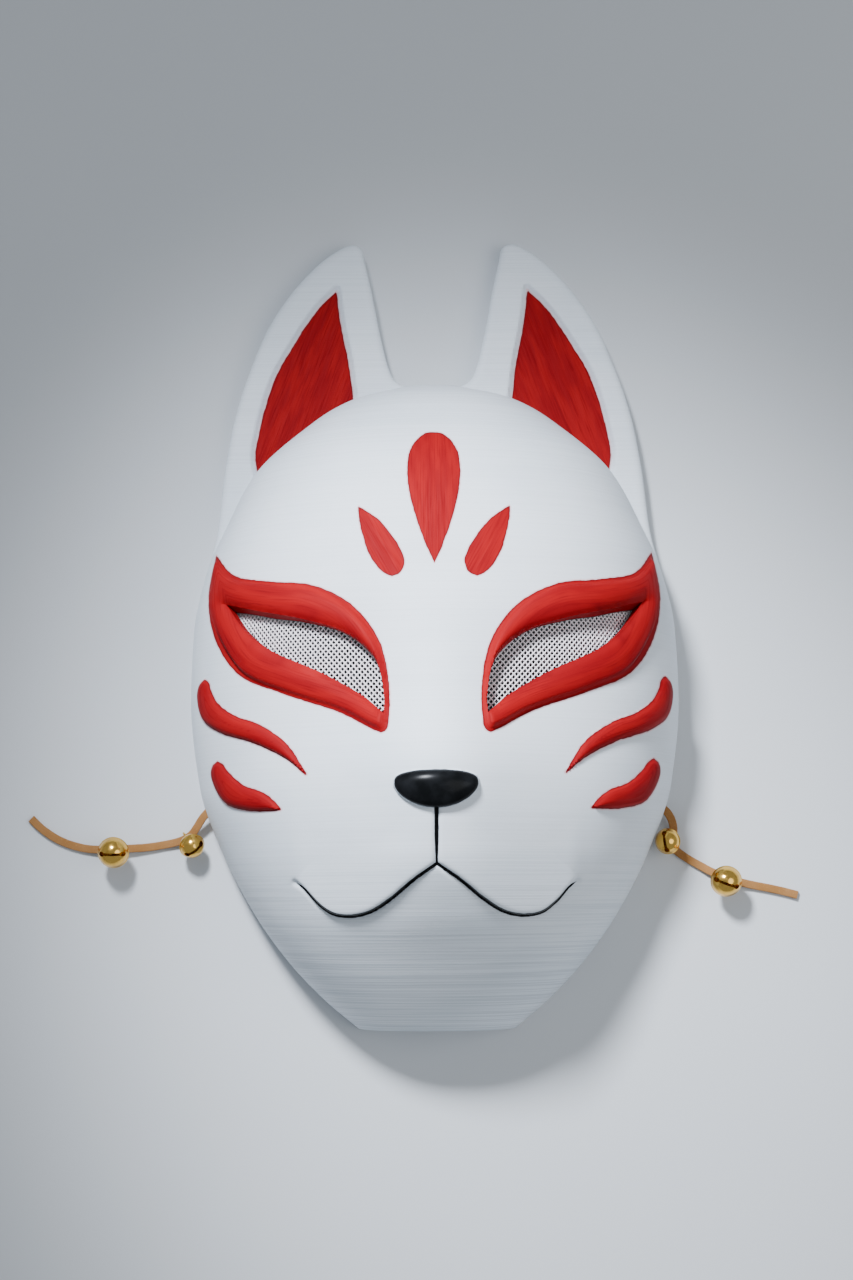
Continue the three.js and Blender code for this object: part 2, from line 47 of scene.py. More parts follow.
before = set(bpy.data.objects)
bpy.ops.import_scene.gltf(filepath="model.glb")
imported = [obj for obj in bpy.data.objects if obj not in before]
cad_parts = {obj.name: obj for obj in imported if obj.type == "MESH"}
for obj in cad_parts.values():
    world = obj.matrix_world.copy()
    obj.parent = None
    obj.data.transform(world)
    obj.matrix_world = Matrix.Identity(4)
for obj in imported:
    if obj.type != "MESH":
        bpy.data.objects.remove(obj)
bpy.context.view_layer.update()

MM = 0.001


def linear(hex_colour):
    """An sRGB hex colour as the linear values that shaders take."""
    channels = [int(hex_colour[i : i + 2], 16) / 255 for i in (1, 3, 5)]
    return tuple(c / 12.92 if c <= 0.04045 else ((c + 0.055) / 1.055) ** 2.4 for c in channels)


# Sizes of the face, in millimetres

WALL = 3.0
CHIN_Y = -147.5
CROWN_Y = 94.0
SIDE_FULLNESS = 2.3

# Place along the mask, half width, height of the middle, swell and half width of the muzzle
SECTIONS = np.array(
    [
        (-147.5, 29.5, 27, 0, 34),
        (-137, 42, 39, 1, 36),
        (-122, 56, 52, 4, 38),
        (-105, 68, 62, 11, 39),
        (-82, 80, 69.5, 19, 38),
        (-58, 88.5, 73, 22.5, 34),
        (-25, 92, 75.5, 11, 24),
        (0, 91, 77, 3, 20),
        (22, 86.5, 75, 0, 20),
        (41, 78.5, 70, 0, 20),
        (60, 68.5, 61, 0, 20),
        (77, 50.5, 46, 0, 20),
        (88, 34, 30, 0, 20),
        (94, 15, 12, 0, 20),
    ]
)
HALF, HEIGHT, MUZZLE, SPREAD = 1, 2, 3, 4

# Distances to an outline are worked out no further than this
REACH = 9.0

# The edge of an ear rolls down by a drop, its middle sinks between two distances inside its red,
# and its foot goes a little way into the wall of the face
EAR_THICK = 9.0
EAR_ROLL_DROP = 2.4
EAR_RECESS_DEEP = 2.5
EAR_RECESS_SPAN = (-2.2, 0.2)
EAR_GRID = 0.7
EAR_POINTS = 380
EAR_ROLL_SHARES = (0.05, 0.16, 0.34, 0.58, 0.85)
EAR_UNDER = 0.4
EAR_OUTLINE = [
    (4, 93), (10, 94.2), (14.3, 96.6), (16.7, 101.5), (20, 115), (23, 131), (25.6, 142.6),
    (27.1, 148.3), (30.5, 149.7), (39, 145.6), (51, 134.3), (62, 118.4), (69.5, 101), (75, 84),
    (79, 63), (82, 38), (85.2, 25), (88.2, 13),
]
EAR_UNDER_FACE = [(80, 8), (60, 50), (30, 80), (4, 86)]
# The sunken red middle of an ear, from its tip down each edge to where the face covers it
EAR_RECESS_OUTER = [
    (36.5, 131.9), (43, 125.5), (48.5, 118), (53, 110.8), (59.2, 99.9), (62.9, 90), (66.2, 77),
    (67.6, 68), (66, 58),
]
EAR_RECESS_INNER = [
    (36.5, 131.9), (35.1, 120.3), (33.6, 112), (32.2, 105.5), (30.8, 95), (30.4, 88), (36, 76),
    (66, 58),
]

# The painted lid round each eye opening, from its outer tip to the corner beside the nose
LID_UPPER = [
    (81, 28), (72.5, 17.4), (59, 13.3), (43, 10.6), (29, 2.9), (19.4, -10.2), (16, -26), (16.1, -38),
    (16.9, -41.9), (18.8, -42.9),
]
LID_LOWER = [
    (81, 28), (83.2, 10.6), (79.8, -5.6), (70.2, -19.6), (53.5, -27.5), (33.3, -35), (22, -41.4),
    (18.8, -42.9),
]
EYE_UPPER = [(75.2, 6.6), (64, 3), (46, -1.6), (31, -7), (20.8, -16.7), (17.8, -30), (18, -36)]
EYE_LOWER = [(75.2, 6.6), (67.5, -4.3), (58.5, -11.6), (38.2, -21.5), (24.5, -30), (18, -36)]

# An eye is cut upright from over the nose to just over the face, then slanting through the wall,
# and upright again from just behind it down into the hollow
EYE_CUT_TOP = 150.0
EYE_CUT_OVER = 0.2
EYE_CUT_BEHIND = 0.5
EYE_CUT_LOW = 12.0

# The same opening on the hollow side, where its walls have drawn in at the outer end
EYE_BACK_UPPER = [
    (71.4, 3.4), (64, 1.6), (56, -0.6), (46, -2.4), (31, -7.3), (20.9, -16.8), (17.9, -30), (18, -36),
]
EYE_BACK_LOWER = [(71.4, 3.4), (66, -4.5), (57.6, -11.9), (38.2, -21.5), (24.5, -30), (18, -36)]

# The raised marks on each cheek, out along one edge and back along the other
CHEEK_MARKS = [
    (
        [
            (84.3, -19.6), (85.9, -20.6), (87.2, -24.5), (85, -33.5), (78, -39), (63.7, -44.3),
            (52, -50.6), (45.6, -56),
        ],
        [
            (84.3, -19.6), (82.8, -20.7), (81.7, -24.5), (78.5, -29.5), (71, -34.7), (63.6, -37.6),
            (53, -45), (45.6, -56),
        ],
    ),
    (
        [(79.2, -49.9), (81, -51.2), (81.5, -55), (76, -64.5), (66, -67.7), (55, -68)],
        [
            (79.2, -49.9), (77.4, -50.9), (74.8, -54.2), (68.5, -59.4), (62.5, -61.6), (58.3, -64.4),
            (55, -68),
        ],
    ),
]

# The flat painted marks on the forehead: half of the middle drop, and the whole of a side one
MIDDLE_DROP = [
    (0, 67.7), (2.8, 67.4), (6.1, 64.4), (8.6, 59.6), (9.5, 52), (8.7, 43.4), (6.5, 34.2),
    (3.7, 25.8), (0, 17.3),
]
SIDE_DROP_INNER = [
    (27, 39), (19.9, 33.8), (15.1, 27.8), (12, 22.8), (10.5, 18), (12, 13.9), (15, 12.6),
]
SIDE_DROP_OUTER = [
    (27, 39), (26.6, 34), (25.3, 28), (23.5, 22), (21.1, 17.6), (18.2, 14.2), (15, 12.6),
]

NOSE_HALF_WIDTH = 14.4
NOSE_TOP_Y = -56.0
NOSE_WIDEST_Y = -61.0
NOSE_POINT_Y = -69.0

# How far the nose and the cheek marks stand out, the width of their rounded edges, how far the
# paint of a mark runs over its edge, and the step between the brushwork of one shape and the next
NOSE_HIGH = 3.6
NOSE_ROLL = 5.5
MARK_HIGH = 1.9
MARK_ROLL = 3.4
MARK_PAINT_OVER = 0.4
STROKE_STEP = 7.0

# The line of the mouth and its half widths, at shares of the way from the middle to its end
MOUTH_LINE = [
    (0, -87.7), (8.4, -93.5), (16, -99.7), (23, -104), (29.7, -105.6), (36.7, -104.7), (42, -101),
    (47, -95.7), (50.1, -93.6),
]
MOUTH_WIDTH_AT = (0, 0.5, 0.8, 0.95, 1)
MOUTH_HALF_WIDTHS = (0.58, 0.66, 0.56, 0.4, -0.1)
GROOVE_DEEP = 1.2
GROOVE_SPREAD = 0.9

# The painted seam from the nose to the mouth, which thins between two places
SEAM_TOP_Y = -68.0
SEAM_LOW_Y = -88.0
SEAM_THIN_Y = -87.2
SEAM_FULL_Y = -78.0
SEAM_HALF_WIDTHS = (0.45, 0.75)

# The upper lip swells most in two lobes, and fades out between two distances from the middle
LIP_REACH = 24.0
LIP_HIGH = 2.6
LIP_LEAST = 0.35
LIP_ROLL = 3.6
LIP_UNDER = 0.4
LIP_ENDS = (46, 54)

# Swell of a lid at shares of the way from its paint's edge to the opening, and its foot
LID_SWELL_AT = (0, 0.1, 0.3, 0.55, 0.8, 1)
LID_SWELL = (0, 0.9, 2.15, 2.5, 1.9, 0.5)
LID_FOOT = 0.4
LID_FOOT_WIDE = 1.7

# Round a place at its lower outer side, a lid's foot lies further in, behind a crease
CREASE_MIDDLE = (76.0, -9.0)
CREASE_REACH = 15.0
# The painted shade along the crease, where the paint also pools, lies this far inside the paint
CREASE_INSIDE = 2.3
CREASE_FOOT = 1.7

# Each screen hangs behind the hollow side, laid out flat from a row through the eye
SCREEN_BEHIND = 1.5
SCREEN_ROW_Y = -14.0
SCREEN_X = (10, 88)
SCREEN_HALF_HEIGHT = 40
SCREEN_SPAN = 140
SCREEN_PAST_EYE = 2.6
WEAVE_RISE = 0.21

# Routes of the laces over the floor, from the knot inside the rim to the bare end
LACE_LEFT = [
    (-80.5, -62.8, 6.2), (-84.4, -66, 6.2), (-87, -68.6, 5.7), (-89.3, -71.9, 4.2),
    (-91.3, -74.6, 2.9), (-93.4, -76.3, 2.3), (-97, -77.7, 1.2), (-102.3, -78.8, 0.85),
    (-108.3, -79.7, 1.1), (-114.4, -80.1, 1.8), (-120.1, -80.3, 2.3), (-126.5, -80.4, 1.3),
    (-130.9, -80.1, 0.85), (-136.6, -78.8, 0.8), (-142.6, -76.3, 0.8), (-148.2, -72.5, 0.8),
    (-152.3, -68.6, 0.8),
]
LACE_RIGHT = [
    (80.5, -62.8, 6.2), (84.4, -66, 6.2), (86.9, -68.3, 5.8), (88.6, -71.4, 4.7), (89.2, -75, 3.2),
    (88.8, -78.6, 2.3), (90.2, -82, 1.3), (93.9, -84.9, 0.85), (99.2, -88, 0.85),
    (103.6, -90.4, 1.5), (108.4, -92.3, 2.3), (114, -94.2, 1.5), (119.5, -95.5, 0.85),
    (125, -96.6, 0.8), (130.3, -97.8, 0.8), (135.5, -99.2, 0.8),
]

# The holes that the laces leave by slant towards the chin by an angle in radians
LACE_HOLE = 4.4
LACE_HOLE_Y = -66.0
LACE_HOLE_Z = 6.2
LACE_HOLE_SLANT = 0.69
LACE_HOLE_REACH = 8.0
KNOT_HALF_SIZES = (2.3, 3.2, 2.8)
KNOT_STRAND = 0.85

# Name, radius, point of the lace inside its loop, heading of the lace there, and how far the
# ball leans to the left of that heading
BELLS = [
    ("bell_left_inner", 4.5, LACE_LEFT[5], (-0.8, -0.6), 3.85),
    ("bell_left_outer", 5.5, LACE_LEFT[10], (-1, 0), 1.4),
    ("bell_right_inner", 4.5, LACE_RIGHT[5], (-0.14, 0.99), 2.4),
    ("bell_right_outer", 5.5, LACE_RIGHT[10], (-0.94, 0.34), 1.7),
]

# The seam stands out like a lip, and the slit is given in shares of the bell's radius
BELL_LIP = 0.35
BELL_LIP_HALF_WIDTH = 0.38
SLIT_REACH = 0.72
SLIT_HOLE = 1.9
SLIT_FROM, SLIT_TO = -1.6, -0.2
LOOP_WIRE = 0.4
LOOP_RADIUS = 2.3
FLOOR_GAP = 0.05

# Level that the solids which hollow out the mask reach down to, under the floor
UNDER_FLOOR = -2.0

# Name, place, aim and width of each light in metres, its colour and its cone in degrees
LIGHTS = [
    ("Key", (-0.2, 0.4, 0.62), (0.02, -0.06, 0.07), 0.14, "#EFF5FF", 33),
    ("Fill", (0.6, -0.1, 0.9), (0, 0, 0.03), 0.8, "#FFFFFF", 0),
]

# The camera's aim and distance in metres, its angles in degrees, its lens and the floor
CAMERA_AIM = (-0.003, -0.004, 0.02)
CAMERA_AWAY = 0.925
CAMERA_RISE = 84
CAMERA_ROLL = 0.4
CAMERA_LENS = 70
CAMERA_SENSOR = 36
FLOOR_HALF_WIDTH = 1600.0
FLOOR_Z = -0.1


# Curves and distances in the plane of the rim


def curve_through(places, values, at):
    """Value at each place of a curve through the given ones that never overshoots them."""
    places, values, at = (np.asarray(v, float) for v in (places, values, at))
    step = np.diff(places)
    slope = np.diff(values) / step
    tangent = np.zeros(len(places))
    tangent[0], tangent[-1] = slope[0], slope[-1]
    for i in range(1, len(places) - 1):
        before, after = slope[i - 1], slope[i]
        if before * after > 0:
            near, far = step[i - 1], step[i]
            tangent[i] = 3 * (near + far) / ((2 * far + near) / before + (far + 2 * near) / after)
    at = np.clip(at, places[0], places[-1])
    k = np.clip(np.searchsorted(places, at, side="right") - 1, 0, len(places) - 2)
    t = (at - places[k]) / step[k]
    return (
        (1 + 2 * t) * (1 - t) ** 2 * values[k]
        + t * (1 - t) ** 2 * step[k] * tangent[k]
        + t * t * (3 - 2 * t) * values[k + 1]
        + t * t * (t - 1) * step[k] * tangent[k + 1]
    )


def along_line(line):
    """Distance along a line at each of its points."""
    steps = np.linalg.norm(np.diff(line, axis=0), axis=1)
    return np.concatenate([[0], np.cumsum(steps)])


def evenly(line, count):
    """count + 1 evenly spaced points along a line, in 2 or 3 dimensions."""
    along = along_line(line)
    even = np.linspace(0, along[-1], count + 1)
    return np.stack([np.interp(even, along, axis) for axis in line.T], axis=1)


def full_turn(count):
    """Evenly spaced angles round a circle."""
    return np.linspace(0, 2 * math.pi, count, endpoint=False)


def unit(vectors):
    """The same directions, each at length one."""
    return vectors / np.maximum(np.linalg.norm(vectors, axis=1), 1e-6)[:, None]


def smooth_line(points, count):
    """count + 1 evenly spaced points on a smooth line through the given ones."""
    points = np.asarray(points, float)
    padded = np.vstack([2 * points[0] - points[1], points, 2 * points[-1] - points[-2]])
    dense = []
    for a, b, c, d in zip(padded, padded[1:], padded[2:], padded[3:]):
        gaps = [max(np.linalg.norm(q - p), 1e-6) ** 0.5 for p, q in ((a, b), (b, c), (c, d))]
        out = (b - a) / gaps[0] - (c - a) / (gaps[0] + gaps[1]) + (c - b) / gaps[1]
        into = (c - b) / gaps[1] - (d - b) / (gaps[1] + gaps[2]) + (d - c) / gaps[2]
        out, into = out * gaps[1], into * gaps[1]
        t = np.linspace(0, 1, 24, endpoint=False)[:, None]
        dense.append(
            (2 * t**3 - 3 * t**2 + 1) * b
            + (t**3 - 2 * t**2 + t) * out
            + (3 * t**2 - 2 * t**3) * c
            + (t**3 - t**2) * into
        )
    return evenly(np.vstack(dense + [points[-1:]]), count)


def outline_of(there, back, count=40):
    """A closed outline, out along one edge and home along the other."""
    return np.vstack([smooth_line(there, count), smooth_line(back, count)[::-1][1:-1]])


def inside_distance(points, outline):
    """Distance in millimetres from each point to a closed outline, positive inside it."""
    found = np.full(len(points), -REACH)
    low, high = outline.min(0) - REACH, outline.max(0) + REACH
    near = np.all((points > low) & (points < high), axis=1)
    x, y = points[near].T
    least = np.full(len(x), REACH**2)
    inside = np.zeros(len(x), bool)
    for (ax, ay), (bx, by) in zip(outline, np.roll(outline, -1, axis=0)):
        ex, ey = bx - ax, by - ay
        t = np.clip(((x - ax) * ex + (y - ay) * ey) / (ex * ex + ey * ey + 1e-12), 0, 1)
        least = np.minimum(least, (x - ax - t * ex) ** 2 + (y - ay - t * ey) ** 2)
        if ey:
            inside ^= ((ay > y) != (by > y)) & (x < ax + (y - ay) * ex / ey)
    found[near] = np.where(inside, 1, -1) * np.sqrt(least)
    return found


def eased(value, low, high):
    t = np.clip((value - low) / (high - low), 0, 1)
    return t * t * (3 - 2 * t)


# The shape of the face, the same as in the solid


def section(column, y):
    return curve_through(SECTIONS[:, 0], SECTIONS[:, column], y)


def inset_section(column, y, inset):
    """The same value drawn in by a wall's thickness, measured square to the curve."""
    if inset == 0:
        return section(column, y)
    away = np.linspace(-inset, inset, 17)
    drawn = [section(column, y + a) - math.sqrt(max(inset**2 - a**2, 0)) for a in away]
    return np.min(drawn, axis=0)


def face_height(x, y, inset=0.0):
    half = inset_section(HALF, y, inset)
    across = np.minimum(np.abs(x) / half, 1)
    dome = inset_section(HEIGHT, y, inset) * np.sqrt(1 - across**SIDE_FULLNESS)
    swell = section(MUZZLE, y) * np.exp(-((x / section(SPREAD, y)) ** 2))
    return dome + swell * (1 - across**4) ** 0.25


def on_face(x, y, lift):
    """Points on the face, moved out along its own normal."""
    step = 0.4
    slope_x = (face_height(x + step, y) - face_height(x - step, y)) / (2 * step)
    slope_y = (face_height(x, y + step) - face_height(x, y - step)) / (2 * step)
    steep = np.sqrt(slope_x**2 + slope_y**2 + 1)
    z = face_height(x, y) + lift / steep
    return np.stack([x - lift * slope_x / steep, y - lift * slope_y / steep, z], axis=-1)


def nose_outline():
    angle = np.linspace(-math.pi / 2, math.pi / 2, 40)
    x = NOSE_HALF_WIDTH * np.sin(angle)
    cosine = np.maximum(np.cos(angle), 0)
    top = NOSE_WIDEST_Y + (NOSE_TOP_Y - NOSE_WIDEST_Y) * cosine**0.5
    low = NOSE_WIDEST_Y + (NOSE_POINT_Y - NOSE_WIDEST_Y) * cosine**1.3
    return np.vstack([np.stack([x, top], 1), np.stack([x, low], 1)[::-1][1:-1]])


LID = outline_of(LID_UPPER, LID_LOWER, 60)
EYE = outline_of(EYE_UPPER, EYE_LOWER, 48)
EYE_BACK = outline_of(EYE_BACK_UPPER, EYE_BACK_LOWER, 48)
MARKS = [outline_of(*edges) for edges in CHEEK_MARKS]
NOSE = nose_outline()
MIDDLE = outline_of(MIDDLE_DROP, [(-x, y) for x, y in MIDDLE_DROP])
SIDE = outline_of(SIDE_DROP_INNER, SIDE_DROP_OUTER)
RECESS = outline_of(EAR_RECESS_OUTER, EAR_RECESS_INNER, 60)
MOUTH = smooth_line(MOUTH_LINE, 60)
MOUTH_AND_SEAM = np.vstack([[(0, NOSE_POINT_Y + 1)], MOUTH])


def crease_share(side):
    """How near points are to the crease that runs inside the paint at a lid's lower outer side."""
    away = ((side - CREASE_MIDDLE) ** 2).sum(1)
    return np.exp(-away / CREASE_REACH**2)


def lid_lift(side):
    """Swell of the lid at points on one side of the face, from its paint edge to the opening."""
    from_edge = inside_distance(side, LID)
    from_eye = -inside_distance(side, EYE)
    share = from_edge / np.maximum(from_edge + from_eye, 0.01)
    swell = curve_through(LID_SWELL_AT, LID_SWELL, share)
    foot = LID_FOOT + CREASE_FOOT * crease_share(side)
    return np.where(from_edge > 0, swell * eased(from_edge, foot, foot + LID_FOOT_WIDE), 0)


def pillow(distance, high, roll):
    """A raised piece with a rounded edge: its height at a distance inside its outline."""
    t = np.clip(distance / roll, 0, 1)
    return high * np.sqrt(1 - (1 - t) ** 2)


def mouth_share(x):
    """Share of the way along half of the mouth at a distance from the middle of the face."""
    along = along_line(MOUTH)
    return np.interp(x, MOUTH[:, 0], along / along[-1])


def line_distance(points, line):
    """Distance from each point to an open line."""
    least = np.full(len(points), 1e6)
    for a, b in zip(line, line[1:]):
        edge = b - a
        t = np.clip(((points - a) @ edge) / (edge @ edge), 0, 1)
        least = np.minimum(least, ((points - a - t[:, None] * edge) ** 2).sum(1))
    return np.sqrt(least)


def above_mouth(side):
    return side[:, 1] - np.interp(side[:, 0], MOUTH[:, 0], MOUTH[:, 1])


def lip_lift(side):
    """The swollen upper lip, which rolls under to the line of the mouth."""
    above = above_mouth(side)
    v = np.clip(above / LIP_REACH, 0, 1)
    # The lobes draw together by a quarter on the way up to the nose
    along = mouth_share(side[:, 0] / (1 - 0.25 * v))
    lobes = np.abs(np.sin(math.pi * along)) ** 0.7
    high = LIP_HIGH * (LIP_LEAST + (1 - LIP_LEAST) * lobes) * (1 - v) ** 1.6
    return pillow(above + LIP_UNDER, high, LIP_ROLL) * (1 - eased(side[:, 0], *LIP_ENDS))


def relief(x, y):
    """How far the carved and raised parts stand out of the smooth face."""
    side = np.stack([np.abs(x).ravel(), y.ravel()], axis=1)
    lift = lid_lift(side)
    for mark in MARKS:
        lift += pillow(inside_distance(side, mark), MARK_HIGH, MARK_ROLL)
    nose = pillow(inside_distance(side, NOSE), NOSE_HIGH, NOSE_ROLL)
    lift += np.where(nose > 0, nose, lip_lift(side))
    groove = GROOVE_DEEP * np.exp(-((line_distance(side, MOUTH_AND_SEAM) / GROOVE_SPREAD) ** 2))
    lift -= np.where(nose > 0.5, 0, groove)
    return lift.reshape(x.shape)


def red_paint(points, on_ears):
    """Distance inside the red paint, the brush's way and the share of the crease's painted shade, at
    points.
    """
    side = np.stack([np.abs(points[:, 0]), points[:, 1]], axis=1)
    # Outline, how far the paint runs past it, and whether the strokes follow its edge
    if on_ears:
        shapes = [(RECESS, 0, False)]
    else:
        shapes = [(LID, 0, True), (SIDE, 0, False), (MIDDLE, 0, False)]
        shapes += [(mark, MARK_PAINT_OVER, True) for mark in MARKS]
    red = np.full(len(points), -REACH)
    brush = np.zeros((len(points), 3))
    for number, (shape, margin, follows) in enumerate(shapes):
        distance = inside_distance(side, shape) + margin
        long, short = np.linalg.svd(shape - shape.mean(0), full_matrices=False)[2]
        # Each shape and each side of the face has strokes of its own
        offset = STROKE_STEP * (number + np.where(points[:, 0] > 0, 0.5, 0))
        across = distance if follows else side @ short
        chosen = distance > red
        brush[chosen] = np.stack([side @ long, across, offset], axis=1)[chosen]
        red = np.maximum(red, distance)
    crease = np.where(inside_distance(side, LID) > 0, crease_share(side), 0)
    return red, brush, crease


def black_paint(points):
    """Distance inside the nose, height over the mouth's line, and the line's painted half width."""
    side = np.stack([np.abs(points[:, 0]), points[:, 1]], axis=1)
    mouth = np.sign(above_mouth(side)) * np.minimum(line_distance(side, MOUTH), REACH)
    half = curve_through(MOUTH_WIDTH_AT, MOUTH_HALF_WIDTHS, mouth_share(side[:, 0]))
    half = np.where(side[:, 0] > MOUTH[-1, 0], -1, half)
    return inside_distance(side, NOSE), mouth, half


# Meshes, materials and nodes


MAP_RANGE, MATH, MIX = "ShaderNodeMapRange", "ShaderNodeMath", "ShaderNodeMix"
NOISE, ATTRIBUTE, PLACE = "ShaderNodeTexNoise", "ShaderNodeAttribute", "ShaderNodeTexCoord"
STRETCH, BUMP, AXES = "ShaderNodeVectorMath", "ShaderNodeBump", "ShaderNodeSeparateXYZ"
SMOOTH, COLOUR = {"interpolation_type": "SMOOTHSTEP"}, {"data_type": "RGBA"}
# Inputs 1 to 4 of Map Range are the two ends that a value comes from and the two it goes to.
# Below are the places of the share and the colours among the inputs and outputs of Mix.
SHARE, FIRST, SECOND, MIXED = 0, 6, 7, 2
# Stored on the points of the mask, for the paint to be drawn from
PAINT_VALUES = ("red", "crease", "nose", "mouth", "mouth_half", "deep")


def feed(tree, node, inputs):
    """Gives each of the named or numbered inputs of a node its value or its link."""
    for key, value in inputs.items():
        if isinstance(value, bpy.types.NodeSocket):
            tree.links.new(value, node.inputs[key])
        else:
            node.inputs[key].default_value = value


def add_node(tree, kind, inputs=None, out=0, **settings):
    """Adds a node with its settings, values and links, and gives one of its outputs."""
    node = tree.nodes.new(kind)
    for name, value in settings.items():
        setattr(node, name, value)
    feed(tree, node, inputs or {})
    return node.outputs[out] if node.outputs else None


def opaque(colour):
    """A shader's colour from an sRGB hex value or from a setting."""
    return (*(linear(colour) if isinstance(colour, str) else colour), 1.0)


def new_material(name, **values):
    """A material with its tree and its shader, whose named values are set on the shader itself."""
    material = bpy.data.materials.new(name)
    material.use_nodes = True
    shader = material.node_tree.nodes["Principled BSDF"]
    feed(material.node_tree, shader, {key.replace("_", " "): v for key, v in values.items()})
    return material, material.node_tree, shader


def linked(name, data):
    """A new object of the scene, which holds a mesh, a light or a camera."""
    made = bpy.data.objects.new(name, data)
    bpy.context.scene.collection.objects.link(made)
    return made


def smooth(mesh, sharp):
    """Shades a mesh smooth but for edges sharper than an angle in degrees."""
    mesh.shade_smooth()
    if sharp:
        mesh.set_sharp_from_angle(angle=math.radians(sharp))


def new_object(name, points, faces, material=None, sharp=35):
    """An object whose mesh is given in millimetres."""
    mesh = bpy.data.meshes.new(name)
    mesh.from_pydata((np.asarray(points) * MM).tolist(), [], [list(map(int, f)) for f in faces])
    mesh.update()
    if material:
        mesh.materials.append(material)
    smooth(mesh, sharp)
    return linked(name, mesh)


def evaluated(made, name, sharp=35):
    """The object with its modifiers worked into a plain mesh under its own name."""
    depsgraph = bpy.context.evaluated_depsgraph_get()
    mesh = bpy.data.meshes.new_from_object(made.evaluated_get(depsgraph), depsgraph=depsgraph)
    mesh.name = name
    smooth(mesh, sharp)
    bpy.data.objects.remove(made)
    return linked(name, mesh)


def worked(made, operation):
    """The object after one bmesh operation on all its faces."""
    shaped = bmesh.new()
    shaped.from_mesh(made.data)
    operation(shaped, faces=shaped.faces)
    shaped.to_mesh(made.data)
    shaped.free()
    return made


def facing_out(made):
    return worked(made, bmesh.ops.recalc_face_normals)


def carved(made, operations, name, sharp=35):
    """The object after a row of joins and cuts with other closed objects, which are used up.

    All are turned into triangles first, because a bent face that is cut can fold over itself.
    """
    for piece in (made, *(other for _, other in operations)):
        worked(piece, bmesh.ops.triangulate)
    for operation, other in operations:
        change = made.modifiers.new(other.name, "BOOLEAN")
        change.operation = operation
        change.object = other
        change.solver = "MANIFOLD"
    plain = evaluated(made, name, sharp)
    for _, other in operations:
        bpy.data.objects.remove(other)
    return plain


def skin(rings, count, closed=False):
    """Faces between rings that all have the same number of points, if closed back to the first."""
    faces = []
    for r in range(rings if closed else rings - 1):
        here, there = r * count, (r + 1) % rings * count
        for i in range(count):
            after = (i + 1) % count
            faces.append((here + i, here + after, there + after, there + i))
    return faces


def loft_faces(rings, count):
    """Faces of a skin over rings with a flat cap on each end."""
    last = (rings - 1) * count
    return skin(rings, count) + [tuple(range(count))[::-1], tuple(range(last, last + count))]


def dome(name, inset, rows, columns, floor_z, material=None, raised=None):
    """The closed solid under the face, drawn in by a wall; rows are places from chin to crown."""
    y = np.asarray(rows, float)[:, None]
    # Columns lie a little wider apart towards the sides than even turns would put them
    s = np.linspace(-1, 1, columns + 1)
    turn = math.pi / 2 * s * (0.8 + 0.2 * s * s)
    x = inset_section(HALF, y, inset) * np.sin(turn)[None, :]
    y = np.broadcast_to(y, x.shape)
    z = face_height(x, y, inset)
    z[:, [0, -1]] = 0
    points = np.stack([x, y, z], axis=-1)
    # The outermost rows stay on the smooth face
    if raised:
        middle = slice(3, -3)
        inner = on_face(x[middle, middle], y[middle, middle], raised(x, y)[middle, middle])
        points[middle, middle] = inner
    if floor_z < 0:
        feet = [points[:, [k]] * (1, 1, 0) + (0, 0, floor_z) for k in (0, -1)]
        points = np.concatenate([feet[0], points, feet[1]], axis=1)
    count = points.shape[1]
    return new_object(name, points.reshape(-1, 3), loft_faces(len(points), count), material)


def prism(name, outline, low, high):
    """A closed upright solid over an outline."""
    count = len(outline)
    rings = [np.column_stack([outline, np.full(count, z)]) for z in (low, high)]
    return facing_out(new_object(name, np.vstack(rings), loft_faces(2, count)))


def add_paint(made, on_ears):
    """Stores what the paint is drawn from on the points of a piece of the mask, in millimetres."""
    mesh = made.data
    points, normals = np.empty((2, len(mesh.vertices) * 3))
    mesh.vertices.foreach_get("co", points)
    mesh.vertices.foreach_get("normal", normals)
    points = points.reshape(-1, 3) / MM
    x, y, z = points.T
    if on_ears:
        deep = np.where(normals[2::3] < -0.9, WALL, 0)
        nose, mouth, half = np.full((3, len(points)), -REACH)
    else:
        # The share of the way through the wall, from 0 outside to its thickness in the hollow
        front = face_height(x, y)
        deep = WALL * (front - z) / np.maximum(front - face_height(x, y, WALL), 0.01)
        deep = np.where(front < 0.01, 0, np.clip(deep, -WALL, WALL))
        deep = np.minimum(deep, np.minimum(y - CHIN_Y, CROWN_Y - y))
        nose, mouth, half = black_paint(points)
    red, brush, crease = red_paint(points, on_ears)
    for name, values in zip(PAINT_VALUES, (red, crease, nose, mouth, half, deep)):
        mesh.attributes.new(name, "FLOAT", "POINT").data.foreach_set("value", values)
    mesh.attributes.new("brush", "FLOAT_VECTOR", "POINT").data.foreach_set("vector", brush.ravel())


